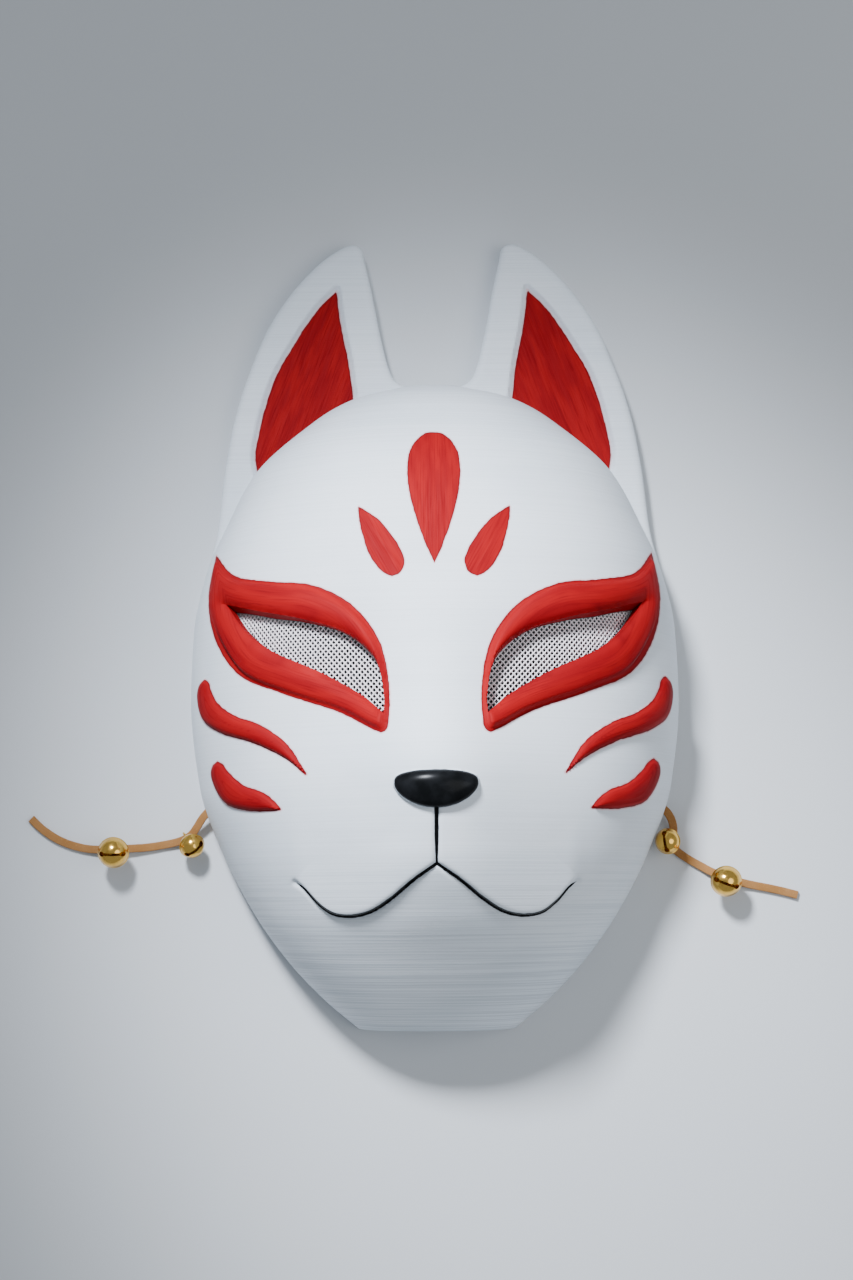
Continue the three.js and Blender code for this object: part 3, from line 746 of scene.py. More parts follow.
def painted_print(paint):
    """PLA print in fine layers, brushed with acrylic in white, red and black.

    To the eye it is an even white with faint level lines from the layers, whose gaps hold painted
    shade of each layer's step. The red is nearly matt and shows streaks along each stroke, a darker
    line at its edge, painted shade in the crease at a lid's lower outer side, where the paint also
    pools, and a faint pink line outside its edge. The black is smoother and shinier, and the hollow
    side is unpainted dark grey print, whose darkness also stands in for the shade inside the mask.
    """
    material, tree, shader = new_material("Acrylic on PLA print", IOR=1.49, Specular_IOR_Level=0.08)
    place = add_node(tree, PLACE, out="Object")
    along_x, along_y = (add_node(tree, AXES, {0: place}, axis) for axis in "XY")
    stored = {
        name: add_node(tree, ATTRIBUTE, out="Fac", attribute_name=name) for name in PAINT_VALUES
    }
    brush = add_node(tree, ATTRIBUTE, out="Vector", attribute_name="brush")

    # The nose, the line of the mouth and the seam between them, which thins towards the mouth
    from_line = add_node(tree, MATH, {0: stored["mouth"]}, operation="ABSOLUTE")
    line_edge = add_node(tree, MATH, {0: stored["mouth_half"], 1: from_line}, operation="SUBTRACT")
    thinnest, widest = SEAM_HALF_WIDTHS
    thinning = {0: along_y, 1: SEAM_THIN_Y * MM, 2: SEAM_FULL_Y * MM, 3: thinnest, 4: widest}
    seam_half = add_node(tree, MAP_RANGE, thinning, **SMOOTH)
    from_seam = add_node(tree, MATH, {0: along_x}, operation="ABSOLUTE")
    seam_edge = {0: from_seam, 1: -1 / MM, 2: seam_half}
    seam_edge = add_node(tree, MATH, seam_edge, operation="MULTIPLY_ADD")
    for end, way in ((SEAM_LOW_Y, 1), (SEAM_TOP_Y, -1)):
        from_end = {0: along_y, 1: way / MM, 2: -end * way}
        from_end = add_node(tree, MATH, from_end, operation="MULTIPLY_ADD")
        seam_edge = add_node(tree, MATH, {0: seam_edge, 1: from_end}, operation="MINIMUM")
    black_edge = stored["nose"]
    for edge in (line_edge, seam_edge):
        black_edge = add_node(tree, MATH, {0: black_edge, 1: edge}, operation="MAXIMUM")

    # A hand's wobble moves each painted edge by up to a quarter of a millimetre, every 3 mm or so
    wobble = add_node(tree, NOISE, {"Vector": place, "Scale": 380.0, "Detail": 2.0})
    wobble = add_node(tree, MATH, {0: wobble, 1: 0.5}, operation="SUBTRACT")
    # Paint reaches down the walls of the openings, and stops short of the hollow side
    wall_left = add_node(tree, MATH, {0: WALL - 0.1, 1: stored["deep"]}, operation="SUBTRACT")
    painted = []
    for edge, sway, soft in ((stored["red"], 0.55, 0.1), (black_edge, 0.3, 0.12)):
        edge = add_node(tree, MATH, {0: wobble, 1: sway, 2: edge}, operation="MULTIPLY_ADD")
        edge = add_node(tree, MATH, {0: edge, 1: wall_left}, operation="MINIMUM")
        painted += [edge, add_node(tree, MAP_RANGE, {0: edge, 1: -soft, 2: soft}, **SMOOTH)]
    red_edge, red_share, _, black_share = painted

    # Streaks are 12 mm long and 0.5 mm wide, about twice as wide as a bristle leaves them
    strokes = add_node(tree, STRETCH, {0: brush, 1: (0.08, 2.0, 1.0)}, operation="MULTIPLY")
    streaks = add_node(tree, NOISE, {"Vector": strokes, "Scale": 1.0, "Detail": 4.0})
    loads = add_node(tree, STRETCH, {0: brush, 1: (0.05, 0.25, 1.0)}, operation="MULTIPLY")
    coats = add_node(tree, NOISE, {"Vector": loads, "Scale": 1.0, "Detail": 2.0})
    fresh = add_node(tree, MAP_RANGE, {0: coats, 1: 0.35, 2: 0.65}, **SMOOTH)
    dark = add_node(tree, MAP_RANGE, {0: streaks, 1: 0.48, 2: 0.78, 4: 0.45}, **SMOOTH)
    # A darker line just inside the red's edge
    rim = add_node(tree, MAP_RANGE, {0: red_edge, 1: 0.1, 2: 0.65, 3: 0.7, 4: 0.0}, **SMOOTH)
    # Painted shade along the crease at a lid's lower outer side, where the paint also pools
    from_crease = add_node(tree, MATH, {0: stored["red"], 1: CREASE_INSIDE}, operation="SUBTRACT")
    from_crease = add_node(tree, MATH, {0: from_crease}, operation="ABSOLUTE")
    crease = add_node(tree, MAP_RANGE, {0: from_crease, 1: 0.7, 2: 0.05, 4: 0.4}, **SMOOTH)
    crease = add_node(tree, MATH, {0: crease, 1: stored["crease"]}, operation="MULTIPLY")
    red = opaque(paint.red)
    for share, over in (
        (fresh, paint.red_light),
        (dark, paint.red_dark),
        (rim, paint.red_dark),
        (crease, paint.red_dark),
    ):
        colours = {SHARE: share, FIRST: red, SECOND: opaque(over)}
        red = add_node(tree, MIX, colours, MIXED, **COLOUR)

    # White paint is thinner in patches of a few centimetres, where the grey print cools it
    cloud = add_node(tree, NOISE, {"Vector": place, "Scale": 22.0, "Detail": 3.0})
    thin = add_node(tree, MAP_RANGE, {0: cloud, 1: 0.4, 2: 0.75, 4: 0.6}, **SMOOTH)
    # Layers of 0.2 mm are drawn about twice as coarse, and show most on the chin and brow. The grey
    # in their gaps is painted shade of each layer's step, which also darkens the chin and brow as a
    # whole
    level = add_node(tree, STRETCH, {0: place, 1: (9.0, 2200.0, 9.0)}, operation="MULTIPLY")
    layers = add_node(tree, NOISE, {"Vector": level, "Scale": 1.0, "Detail": 3.0, "Roughness": 0.7})
    chin = add_node(tree, MAP_RANGE, {0: along_y, 1: -0.065, 2: -0.135, 3: 0.2, 4: 1.0}, **SMOOTH)
    brow = add_node(tree, MAP_RANGE, {0: along_y, 1: 0.02, 2: 0.07, 3: 0.0, 4: 0.35}, **SMOOTH)
    # Where the layers show, as bumps and as painted shade in their gaps
    layer_steps_show = add_node(tree, MATH, {0: chin, 1: brow}, operation="MAXIMUM")
    gaps = add_node(tree, MAP_RANGE, {0: layers, 1: 0.42, 2: 0.62, 4: 0.42}, **SMOOTH)
    gaps = add_node(tree, MATH, {0: gaps, 1: layer_steps_show}, operation="MULTIPLY")
    halo = add_node(tree, MAP_RANGE, {0: red_edge, 1: -0.65, 2: -0.1, 4: 0.45}, **SMOOTH)

    # Black paint is worn greyer in patches of 6 mm
    worn = add_node(tree, NOISE, {"Vector": place, "Scale": 160.0, "Detail": 4.0})
    worn = add_node(tree, MAP_RANGE, {0: worn, 1: 0.35, 2: 0.7}, **SMOOTH)
    colours = {SHARE: worn, FIRST: opaque(paint.black), SECOND: opaque("#151618")}
    black = add_node(tree, MIX, colours, MIXED, **COLOUR)
    # The hollow side is unpainted dark grey print, whose darkness also stands in for the shade inside
    # the mask
    hollow = {0: stored["deep"], 1: WALL - 0.35, 2: WALL - 0.1}
    hollow = add_node(tree, MAP_RANGE, hollow, **SMOOTH)
    colour = opaque(paint.white)
    for share, over in (
        (thin, opaque(paint.white_thin)),
        (gaps, opaque(paint.layer_shade)),
        (halo, opaque("#DB6F68")),
        (red_share, red),
        (black_share, black),
        (hollow, opaque(paint.bare_print_and_shade)),
    ):
        colours = {SHARE: share, FIRST: colour, SECOND: over}
        colour = add_node(tree, MIX, colours, MIXED, **COLOUR)

    gloss = add_node(tree, MAP_RANGE, {0: streaks, 1: 0.3, 2: 0.7, 3: 0.58, 4: 0.75}, **SMOOTH)
    rough = add_node(tree, MIX, {0: red_share, 2: 0.55, 3: gloss})
    rough = add_node(tree, MIX, {0: black_share, 2: rough, 3: 0.26})
    layer_rise = add_node(tree, MATH, {0: layers, 1: layer_steps_show}, operation="MULTIPLY")
    layer_rise = add_node(tree, MIX, {0: black_share, 2: layer_rise, 3: 0.0})
    stroke_rise = add_node(tree, MATH, {0: streaks, 1: red_share}, operation="MULTIPLY")
    rise = {0: stroke_rise, 1: 0.7, 2: layer_rise}
    rise = add_node(tree, MATH, rise, operation="MULTIPLY_ADD")
    bump = add_node(tree, BUMP, {"Height": rise, "Strength": 0.6, "Distance": 0.0002})
    feed(tree, shader, {"Base Color": colour, "Roughness": rough, "Normal": bump})
    return material


def colour_setting(name, description, colour):
    """A colour that can be set, given as sRGB hex."""
    return FloatVectorProperty(
        name=name, description=description, subtype="COLOR", default=linear(colour)
    )


def length_setting(name, description, millimetres, least=0.0):
    """A length that can be set, given in millimetres."""
    return FloatProperty(
        name=name, description=description, default=millimetres * MM, min=least * MM, unit="LENGTH"
    )


class MaskPaint(PropertyGroup):
    """Colours of the mask's paint."""

    white: colour_setting("White", "Lit white paint", "#DEE4EA")
    white_thin: colour_setting("Thin white", "White where it is thin", "#CFD8E0")
    # Painted shade in the gaps of the print's layers
    layer_shade: colour_setting("Layer shade", "Shade between the print's layers", "#9AA5AE")
    red: colour_setting("Red", "Main red of the brushwork", "#820710")
    # Dark red also serves as the painted shade in the lids' creases
    red_dark: colour_setting("Dark red", "Streaks and edges", "#50050D")
    red_light: colour_setting("Light red", "Fresh strokes", "#920C12")
    black: colour_setting("Black", "Nose and mouth", "#090A0B")
    # Kept dark so that it also stands in for the shade inside the mask
    bare_print_and_shade: colour_setting("Bare print", "Unpainted hollow side", "#484B4E")


class MaskSizes(PropertyGroup):
    """Sizes of the mask's own details."""

    wall: length_setting("Wall", "Thickness of the face", WALL, 1.0)
    ear_roll: length_setting("Ear roll", "Width of the rounded edge of the ears", 3.0, 0.5)
    columns: IntProperty(
        name="Columns", description="Faces across the front of the mask", default=300, min=40
    )


class ScreenSizes(PropertyGroup):
    """Sizes of the wire screens."""

    pitch: length_setting("Pitch", "Distance between wires", 1.48, 0.1)
    wire: length_setting("Wire", "Thickness of a wire", 0.52)
    colour: colour_setting("Colour", "Coated wire", "#F7F1F4")


class LaceSizes(PropertyGroup):
    """Sizes of the suede laces."""

    width: length_setting("Width", "Width of a lace", 3.0)
    thickness: length_setting("Thickness", "Thickness of a lace", 1.5)
    colour: colour_setting("Colour", "Tan suede", "#976B3F")


class BellSizes(PropertyGroup):
    """Sizes of the jingle bells."""

    wall: length_setting("Wall", "Thickness of the metal", 0.5)
    slit: length_setting("Slit", "Width of the slit", 1.0)
    colour: colour_setting("Colour", "Gold plate", "#E2B457")


class StageSizes(PropertyGroup):
    """The floor and the lights."""

    floor: colour_setting("Floor", "Pale floor", "#CCCFD2")
    key: FloatProperty(name="Key light", description="Power of the main light", default=78.0)
    fill: FloatProperty(name="Fill light", description="Power of the side light", default=3.5)
    world: FloatProperty(name="Surroundings", description="Light from all round", default=0.5)


def face_rows():
    """Places of the rows of the face: closest together round the eyes, nose and mouth."""
    spans = [(CHIN_Y, -112, 26), (-112, -45, 128), (-45, 30, 84), (30, 80, 30), (80, CROWN_Y, 16)]
    rows = [np.linspace(low, high, count, endpoint=False) for low, high, count in spans]
    return np.concatenate(rows + [[CROWN_Y]])


def inner_rows(inset, count):
    """Places of the rows of a face drawn in by a wall, closer together towards both ends."""
    t = np.linspace(0, 1, count + 1)
    shares = 0.45 * (0.5 - 0.5 * np.cos(math.pi * t)) + 0.55 * t
    return CHIN_Y + inset + (CROWN_Y - CHIN_Y - 2 * inset) * shares


def lace_hole(name, side):
    """A closed bar through the wall where a lace leaves it, slanting towards the chin."""
    angle = full_turn(32)[:, None]
    cosine, sine = math.cos(LACE_HOLE_SLANT), math.sin(LACE_HOLE_SLANT)
    axis, square = np.array([cosine, -sine, 0]), np.array([sine, cosine, 0])
    ring = LACE_HOLE / 2 * (np.cos(angle) * square + np.sin(angle) * (0, 0, 1))
    middle = (section(HALF, LACE_HOLE_Y) - WALL / 2, LACE_HOLE_Y, LACE_HOLE_Z)
    ends = [middle + way * LACE_HOLE_REACH * axis + ring for way in (-1, 1)]
    return facing_out(new_object(name, np.vstack(ends) * (side, 1, 1), loft_faces(2, len(ring))))


def eye_cutter(name, side):
    """A closed solid for an eye opening, whose walls draw in under the lid at the outer end."""
    count = len(EYE)
    rings = (
        (EYE, np.full(count, EYE_CUT_TOP)),
        (EYE, face_height(*EYE.T) + EYE_CUT_OVER),
        (EYE_BACK, face_height(*EYE_BACK.T, WALL) - EYE_CUT_BEHIND),
        (EYE_BACK, np.full(count, EYE_CUT_LOW)),
    )
    points = np.vstack([np.column_stack(ring) for ring in rings]) * (side, 1, 1)
    return facing_out(new_object(name, points, loft_faces(len(rings), count)))


def ears_of(side, roll):
    """One ear as a closed plate with a rolled edge and a sunken middle."""
    outline = np.vstack([smooth_line(EAR_OUTLINE, 150), EAR_UNDER_FACE])
    outline = evenly(np.vstack([outline, outline[:1]]), EAR_POINTS)[:-1]
    way = np.roll(outline, -1, axis=0) - np.roll(outline, 1, axis=0)
    normal = unit(np.stack([way[:, 1], -way[:, 0]], axis=1))
    inward = -1 if inside_distance(outline[:1] + 0.2 * normal[:1], outline)[0] < 0 else 1
    # Rows of points down the rolled edge, without those that cross over in a tight corner
    inner = []
    for share in EAR_ROLL_SHARES:
        ring = outline + inward * normal * share * roll
        kept = np.abs(inside_distance(ring, outline) - share * roll) < 0.1
        inner.append(ring[kept])
    spans = [np.arange(*span, EAR_GRID) for span in zip(outline.min(0), outline.max(0))]
    grid = np.stack(np.meshgrid(*spans), axis=-1).reshape(-1, 2)
    grid = grid[inside_distance(grid, outline) > roll]
    # Only what shows beside the face is finely meshed
    covered = (grid[:, 1] < CROWN_Y) & (face_height(*grid.T) > EAR_THICK + 3)
    flat = np.vstack([outline, *inner, grid[~covered]])
    edges = [(i, (i + 1) % EAR_POINTS) for i in range(EAR_POINTS)]
    made = delaunay_2d_cdt([Vector(p) for p in flat], edges, [], 1, 1e-5)
    spots = np.array([tuple(p) for p in made[0]])
    top_faces = [tuple(f) for f in made[2]]
    inside = inside_distance(spots, outline)
    inside[inside < 0.01] = 0
    rolled = EAR_ROLL_DROP * (1 - np.sqrt(1 - (1 - np.clip(inside / roll, 0, 1)) ** 2))
    sunk = EAR_RECESS_DEEP * eased(inside_distance(spots, RECESS), *EAR_RECESS_SPAN)
    top = np.column_stack([spots, EAR_THICK - rolled - sunk])
    bottom = np.column_stack([spots, np.zeros(len(spots))])
    shift = len(top)
    faces = top_faces + [tuple(i + shift for i in f[::-1]) for f in top_faces]
    faces += [(b, a, a + shift, b + shift) for a, b in boundary_edges(top_faces)]
    name = "ear_right" if side > 0 else "ear_left"
    return facing_out(new_object(name, np.vstack([top, bottom]) * (side, 1, 1), faces))


def boundary_edges(faces):
    """Edges that only one of the faces uses, in that face's own direction."""
    directed = {(f[i], f[(i + 1) % len(f)]) for f in faces for i in range(len(f))}
    return [(a, b) for a, b in directed if (b, a) not in directed]


class MASK_OT_face(Operator):
    """Build the hollow face with its raised lids, cheek marks, nose and mouth"""

    bl_idname = "fox_mask.face"
    bl_label = "Face"

    def execute(self, context):
        scene = context.scene
        material = painted_print(scene.mask_paint)
        sizes = scene.mask_sizes
        outside = dome("mask_front", 0, face_rows(), sizes.columns, 0, material, relief)
        wall = sizes.wall / MM
        cuts = [("DIFFERENCE", dome("hollow", wall, inner_rows(wall, 70), 60, UNDER_FLOOR))]
        for side in (1, -1):
            cuts.append(("DIFFERENCE", eye_cutter(f"eye_{side}", side)))
            cuts.append(("DIFFERENCE", lace_hole(f"hole_{side}", side)))
        face = carved(facing_out(outside), cuts, "mask_face", 40)
        add_paint(face, False)
        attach(face, "root")
        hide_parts("mask")
        return {"FINISHED"}


class MASK_OT_ears(Operator):
    """Build the two flat ears with their rolled edges and sunken red middles"""

    bl_idname = "fox_mask.ears"
    bl_label = "Ears"

    def execute(self, context):
        roll = context.scene.mask_sizes.ear_roll / MM
        left, right = ears_of(-1, roll), ears_of(1, roll)
        # The ears reach a little way into the wall of the face
        rows = inner_rows(EAR_UNDER, 120)
        under_face = dome("under_face", EAR_UNDER, rows, 120, UNDER_FLOOR)
        operations = [("UNION", right), ("DIFFERENCE", facing_out(under_face))]
        ears = carved(left, operations, "mask_ears", 40)
        ears.data.materials.clear()
        ears.data.materials.append(bpy.data.materials["Acrylic on PLA print"])
        add_paint(ears, True)
        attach(ears, "root")
        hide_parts("mask")
        return {"FINISHED"}


def coated_wire(colour):
    """Woven steel wire under a white powder coat: an even satin skin, dirtier here and there."""
    material, tree, shader = new_material("Powder-coated wire", IOR=1.5, Roughness=0.45)
    place = add_node(tree, PLACE, out="Object")
    # Specks of a millimetre or so
    specks = add_node(tree, NOISE, {"Vector": place, "Scale": 900.0, "Detail": 3.0})
    dirty = add_node(tree, MAP_RANGE, {0: specks, 1: 0.4, 2: 0.75, 4: 0.4}, **SMOOTH)
    colours = {SHARE: dirty, FIRST: opaque(colour), SECOND: opaque("#C9BCC2")}
    tone = add_node(tree, MIX, colours, MIXED, **COLOUR)
    # The orange peel of a powder coat, 0.4 mm across
    peel = add_node(tree, NOISE, {"Vector": place, "Scale": 2600.0, "Detail": 2.0})
    bump = add_node(tree, BUMP, {"Height": peel, "Strength": 0.2, "Distance": 0.00005})
    feed(tree, shader, {"Base Color": tone, "Normal": bump})
    return material


def wire_tree():
    """Geometry nodes that turn a net of edges into round wires."""
    tree = bpy.data.node_groups.new("Woven wires", "GeometryNodeTree")
    inputs = {"Net": "Geometry", "Wire Radius": "Float", "Material": "Material"}
    for name, kind in inputs.items():
        tree.interface.new_socket(name, in_out="INPUT", socket_type="NodeSocket" + kind)
    tree.interface.new_socket("Wires", in_out="OUTPUT", socket_type="NodeSocketGeometry")
    net, radius, coat = (add_node(tree, "NodeGroupInput", out=name) for name in inputs)
    path = add_node(tree, "GeometryNodeMeshToCurve", {0: net})
    ring = add_node(tree, "GeometryNodeCurvePrimitiveCircle", {"Resolution": 5, "Radius": radius})
    sweep = {"Curve": path, "Profile Curve": ring, "Fill Caps": True}
    mesh = add_node(tree, "GeometryNodeCurveToMesh", sweep)
    whole = add_node(tree, "GeometryNodeRealizeInstances", {0: mesh})
    coated = add_node(tree, "GeometryNodeSetMaterial", {"Geometry": whole, "Material": coat})
    add_node(tree, "NodeGroupOutput", {0: coated})
    return tree


def set_input(modifier, name, value):
    """Sets a named input of a geometry nodes modifier by its socket's identifier."""
    for item in modifier.node_group.interface.items_tree:
        if item.item_type == "SOCKET" and item.in_out == "INPUT" and item.name == name:
            modifier[item.identifier] = value
            return
    raise RuntimeError(f"the tree has no input named {name}")


def screen_net(side, pitch):
    """Points and edges of slanting wires woven over and under each other, behind one eye."""
    x = np.linspace(*SCREEN_X, 400)
    height = face_height(x, np.full_like(x, SCREEN_ROW_Y))
    bend = along_line(np.column_stack([x, height]))
    count = int(SCREEN_SPAN / pitch)
    i, j = np.meshgrid(np.arange(-count, count), np.arange(-count, count), indexing="ij")
    along = (i + j) * pitch / math.sqrt(2) + bend[-1] / 2
    y = (i - j) * pitch / math.sqrt(2) + SCREEN_ROW_Y
    inside = (along > 0) & (along < bend[-1]) & (np.abs(y - SCREEN_ROW_Y) < SCREEN_HALF_HEIGHT)
    flat_x = np.interp(along, bend, x)
    spots = np.stack([flat_x.ravel(), y.ravel()], axis=1)
    near = inside.ravel() & (inside_distance(spots, EYE) > -SCREEN_PAST_EYE)
    near = near.reshape(i.shape)
    points, edges = [], []
    weave = WEAVE_RISE * np.where((i + j) % 2 == 0, 1, -1)
    # Each of the two families of wires runs along one direction of the grid
    for family in (0, 1):
        index = np.full(i.shape, -1)
        index[near] = np.arange(near.sum()) + len(points)
        lift = (weave if family == 0 else -weave) - WALL - SCREEN_BEHIND
        points += on_face(flat_x[near], y[near], lift[near]).tolist()
        a, b = (index[:-1], index[1:]) if family == 0 else (index[:, :-1], index[:, 1:])
        both = (a >= 0) & (b >= 0)
        edges += np.stack([a[both], b[both]], axis=1).tolist()
    return np.array(points) * (side, 1, 1), edges


class MASK_OT_screens(Operator):
    """Weave the wire screen behind each eye opening"""

    bl_idname = "fox_mask.screens"
    bl_label = "Eye screens"

    def execute(self, context):
        sizes = context.scene.screen_sizes
        material = coated_wire(sizes.colour)
        tree = wire_tree()
        for name, side in (("eye_screen_left", -1), ("eye_screen_right", 1)):
            points, edges = screen_net(side, sizes.pitch / MM)
            mesh = bpy.data.meshes.new(name + "_net")
            mesh.from_pydata((points * MM).tolist(), edges, [])
            net = linked(name + "_net", mesh)
            weave = net.modifiers.new("Woven wires", "NODES")
            weave.node_group = tree
            set_input(weave, "Wire Radius", sizes.wire / 2)
            set_input(weave, "Material", material)
            screen = evaluated(net, name + "_wires", 60)
            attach(screen, "root")
            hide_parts(name)
        return {"FINISHED"}


def tan_suede(colour):
    """Suede lace in tan calf leather, split and brushed: a dry nap with dark pits and pale fibres."""
    material, tree, shader = new_material(
        "Tan suede", IOR=1.5, Roughness=0.92, Sheen_Weight=0.15, Specular_IOR_Level=0.2
    )
    place = add_node(tree, PLACE, out="Object")
    # The nap is about 0.5 mm, twice as coarse as the real one, and its patches are 8 mm
    nap = add_node(tree, NOISE, {"Vector": place, "Scale": 1800.0, "Detail": 4.0, "Roughness": 0.7})
    patches = add_node(tree, NOISE, {"Vector": place, "Scale": 120.0, "Detail": 2.0})
    tone = opaque(colour)
    for value, low, high, most, other in (
        (patches, 0.35, 0.7, 1.0, "#8F6335"),
        (nap, 0.55, 0.8, 0.6, "#C9A26C"),
        (nap, 0.45, 0.2, 0.5, "#6A4726"),
    ):
        share = add_node(tree, MAP_RANGE, {0: value, 1: low, 2: high, 4: most}, **SMOOTH)
        colours = {SHARE: share, FIRST: tone, SECOND: opaque(other)}
        tone = add_node(tree, MIX, colours, MIXED, **COLOUR)
    bump = add_node(tree, BUMP, {"Height": nap, "Strength": 0.6, "Distance": 0.00015})
    feed(tree, shader, {"Base Color": tone, "Normal": bump})
    return material


def ribbon(name, route, width, thickness, material):
    """A flat lace swept along a route in millimetres, its wide side kept level."""
    line = smooth_line(route, 150)
    way = unit(np.gradient(line, axis=0))
    across = unit(np.stack([way[:, 1], -way[:, 0], np.zeros(len(way))], axis=1))
    above = np.cross(across, way)
    # A rounded oblong: a superellipse whose sides are nearly flat
    corner = 0.35
    angle = full_turn(24)
    turn = np.stack([np.cos(angle), np.sin(angle)], axis=1)
    shape = (width / 2, thickness / 2) * np.sign(turn) * np.abs(turn) ** corner
    points = []
    for centre, side, up in zip(line, across, above):
        for u, v in shape:
            p = centre + u * side + v * up
            # The nap frays by a few hundredths of a millimetre
            fray = 0.06 * noise.noise(Vector(p) * 2.3)
            points.append(p + fray * side + 0.5 * fray * up)
    made = new_object(name, points, loft_faces(len(line), len(shape)), material, 50)
    return facing_out(made), line


def knot_route(centre):
    """A trefoil drawn up tight inside the small space that the knot fills."""
    t = full_turn(60)
    x = (np.sin(t) + 2 * np.sin(2 * t)) / 3
    y = (np.cos(t) - 2 * np.cos(2 * t)) / 3
    z = -np.sin(3 * t)
    sizes = np.array(KNOT_HALF_SIZES) - KNOT_STRAND
    return np.stack([z * sizes[0], x * sizes[1], y * sizes[2]], axis=1) + centre


def tube(name, line, radius, material):
    """A round closed tube along a closed line in millimetres."""
    way = unit(np.roll(line, -1, axis=0) - np.roll(line, 1, axis=0))
    across = unit(np.cross(way, line - line.mean(0)))
    above = np.cross(across, way)
    sides = 10
    angle = full_turn(sides)[None, :, None]
    ring = radius * (np.cos(angle) * across[:, None] + np.sin(angle) * above[:, None])
    points = (line[:, None] + ring).reshape(-1, 3)
    return facing_out(new_object(name, points, skin(len(line), sides, True), material, 60))


class MASK_OT_laces(Operator):
    """Lay the suede lace and its knot on each side, under the bells"""

    bl_idname = "fox_mask.laces"
    bl_label = "Laces"

    def execute(self, context):
        sizes = context.scene.lace_sizes
        material = tan_suede(sizes.colour)
        for name, route in (("lace_left", LACE_LEFT), ("lace_right", LACE_RIGHT)):
            across, deep = sizes.width / MM, sizes.thickness / MM
            lace, line = ribbon(name + "_suede", route, across, deep, material)
            knot = tube(name + "_knot", knot_route(np.array(route[0])), KNOT_STRAND, material)
            for piece in (lace, knot):
                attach(piece, "root")
                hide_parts(name)
        return {"FINISHED"}


def gold_plate(colour):
    """Brass pressed thin and plated with gold: a mirror that is worn dull and browner in spots."""
    material, tree, shader = new_material("Gold-plated brass", Metallic=1.0)
    place = add_node(tree, PLACE, out="Object")
    # Worn spots of 2 mm, and dents of 3 mm too shallow to see but in the highlights
    spots = add_node(tree, NOISE, {"Vector": place, "Scale": 420.0, "Detail": 5.0, "Roughness": 0.65})
    worn = add_node(tree, MAP_RANGE, {0: spots, 1: 0.5, 2: 0.75, 4: 0.5}, **SMOOTH)
    colours = {SHARE: worn, FIRST: opaque(colour), SECOND: opaque("#B98A35")}
    tone = add_node(tree, MIX, colours, MIXED, **COLOUR)
    dull = add_node(tree, NOISE, {"Vector": place, "Scale": 700.0, "Detail": 3.0})
    rough = add_node(tree, MAP_RANGE, {0: dull, 1: 0.3, 2: 0.7, 3: 0.12, 4: 0.24}, **SMOOTH)
    dents = add_node(tree, NOISE, {"Vector": place, "Scale": 300.0, "Detail": 2.0})
    bump = add_node(tree, BUMP, {"Height": dents, "Strength": 0.15, "Distance": 0.0002})
    feed(tree, shader, {"Base Color": tone, "Roughness": rough, "Normal": bump})
    return material


def turned(name, profile, segments, material=None):
    """A closed solid turned about Z from a profile of (radius, z) that starts and ends on it."""
    angle = full_turn(segments)
    rings = [
        np.stack([r * np.cos(angle), r * np.sin(angle), np.full(segments, z)], axis=1)
        for r, z in profile[1:-1]
    ]
    points = np.vstack([*rings, [(0, 0, profile[0][1])], [(0, 0, profile[-1][1])]])
    faces = skin(len(rings), segments)
    first, last = len(points) - 2, len(points) - 1
    end = (len(rings) - 1) * segments
    for i in range(segments):
        after = (i + 1) % segments
        faces += [(first, after, i), (last, end + i, end + after)]
    return facing_out(new_object(name, points, faces, material))


def bell_profile(radius, lip):
    """Half outline of a ball with a crimped seam round its middle."""
    angle = np.linspace(0, math.pi, 45)[1:-1]
    wide = radius + lip * np.exp(-((radius * np.cos(angle) / BELL_LIP_HALF_WIDTH) ** 4))
    return [(0, radius), *zip(wide * np.sin(angle), wide * np.cos(angle)), (0, -radius)]


def slit_cutter(name, radius, slit):
    """The slot along the far half of a bell, with a round hole at each end."""
    half, hole = SLIT_REACH * radius, SLIT_HOLE / 2
    turn = math.asin(slit / 2 / hole)
    arc = np.linspace(math.pi - turn, turn - math.pi, 18)
    end = np.stack([hole * np.sin(arc), half + hole * np.cos(arc)], axis=1)
    return prism(name, np.vstack([end, -end]), SLIT_FROM * radius, SLIT_TO * radius)


class MASK_OT_bells(Operator):
    """Form the gold jingle bells with their seam, slit and loop"""

    bl_idname = "fox_mask.bells"
    bl_label = "Bells"

    def execute(self, context):
        sizes = context.scene.bell_sizes
        material = gold_plate(sizes.colour)
        for name, radius, loop_at, heading, aside in BELLS:
            ball = turned(name + "_ball", bell_profile(radius, BELL_LIP), 64, material)
            inside = turned(name + "_inside", bell_profile(radius - sizes.wall / MM, 0), 40)
            cutter = slit_cutter(name + "_slit", radius, sizes.slit / MM)
            cuts = [("DIFFERENCE", inside), ("DIFFERENCE", cutter)]
            bell = carved(ball, cuts, name + "_gold")
            t = full_turn(40)
            wire = LOOP_RADIUS * np.stack([np.cos(t), 0 * t, np.sin(t) + 1], axis=1)
            loop = tube(name + "_loop", wire + (0, 0, radius), LOOP_WIRE, material)
            join_into(bell, loop)
            bell.data.materials.clear()
            bell.data.materials.append(material)
            place_bell(bell, radius, loop_at, heading, aside)
            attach(bell, "root")
            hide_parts(name)
        return {"FINISHED"}


def join_into(made, other):
    """Adds another object's mesh to the first one's, and removes it."""
    shaped = bmesh.new()
    shaped.from_mesh(made.data)
    shaped.from_mesh(other.data)
    shaped.to_mesh(made.data)
    shaped.free()
    bpy.data.objects.remove(other)
    smooth(made.data, 32)


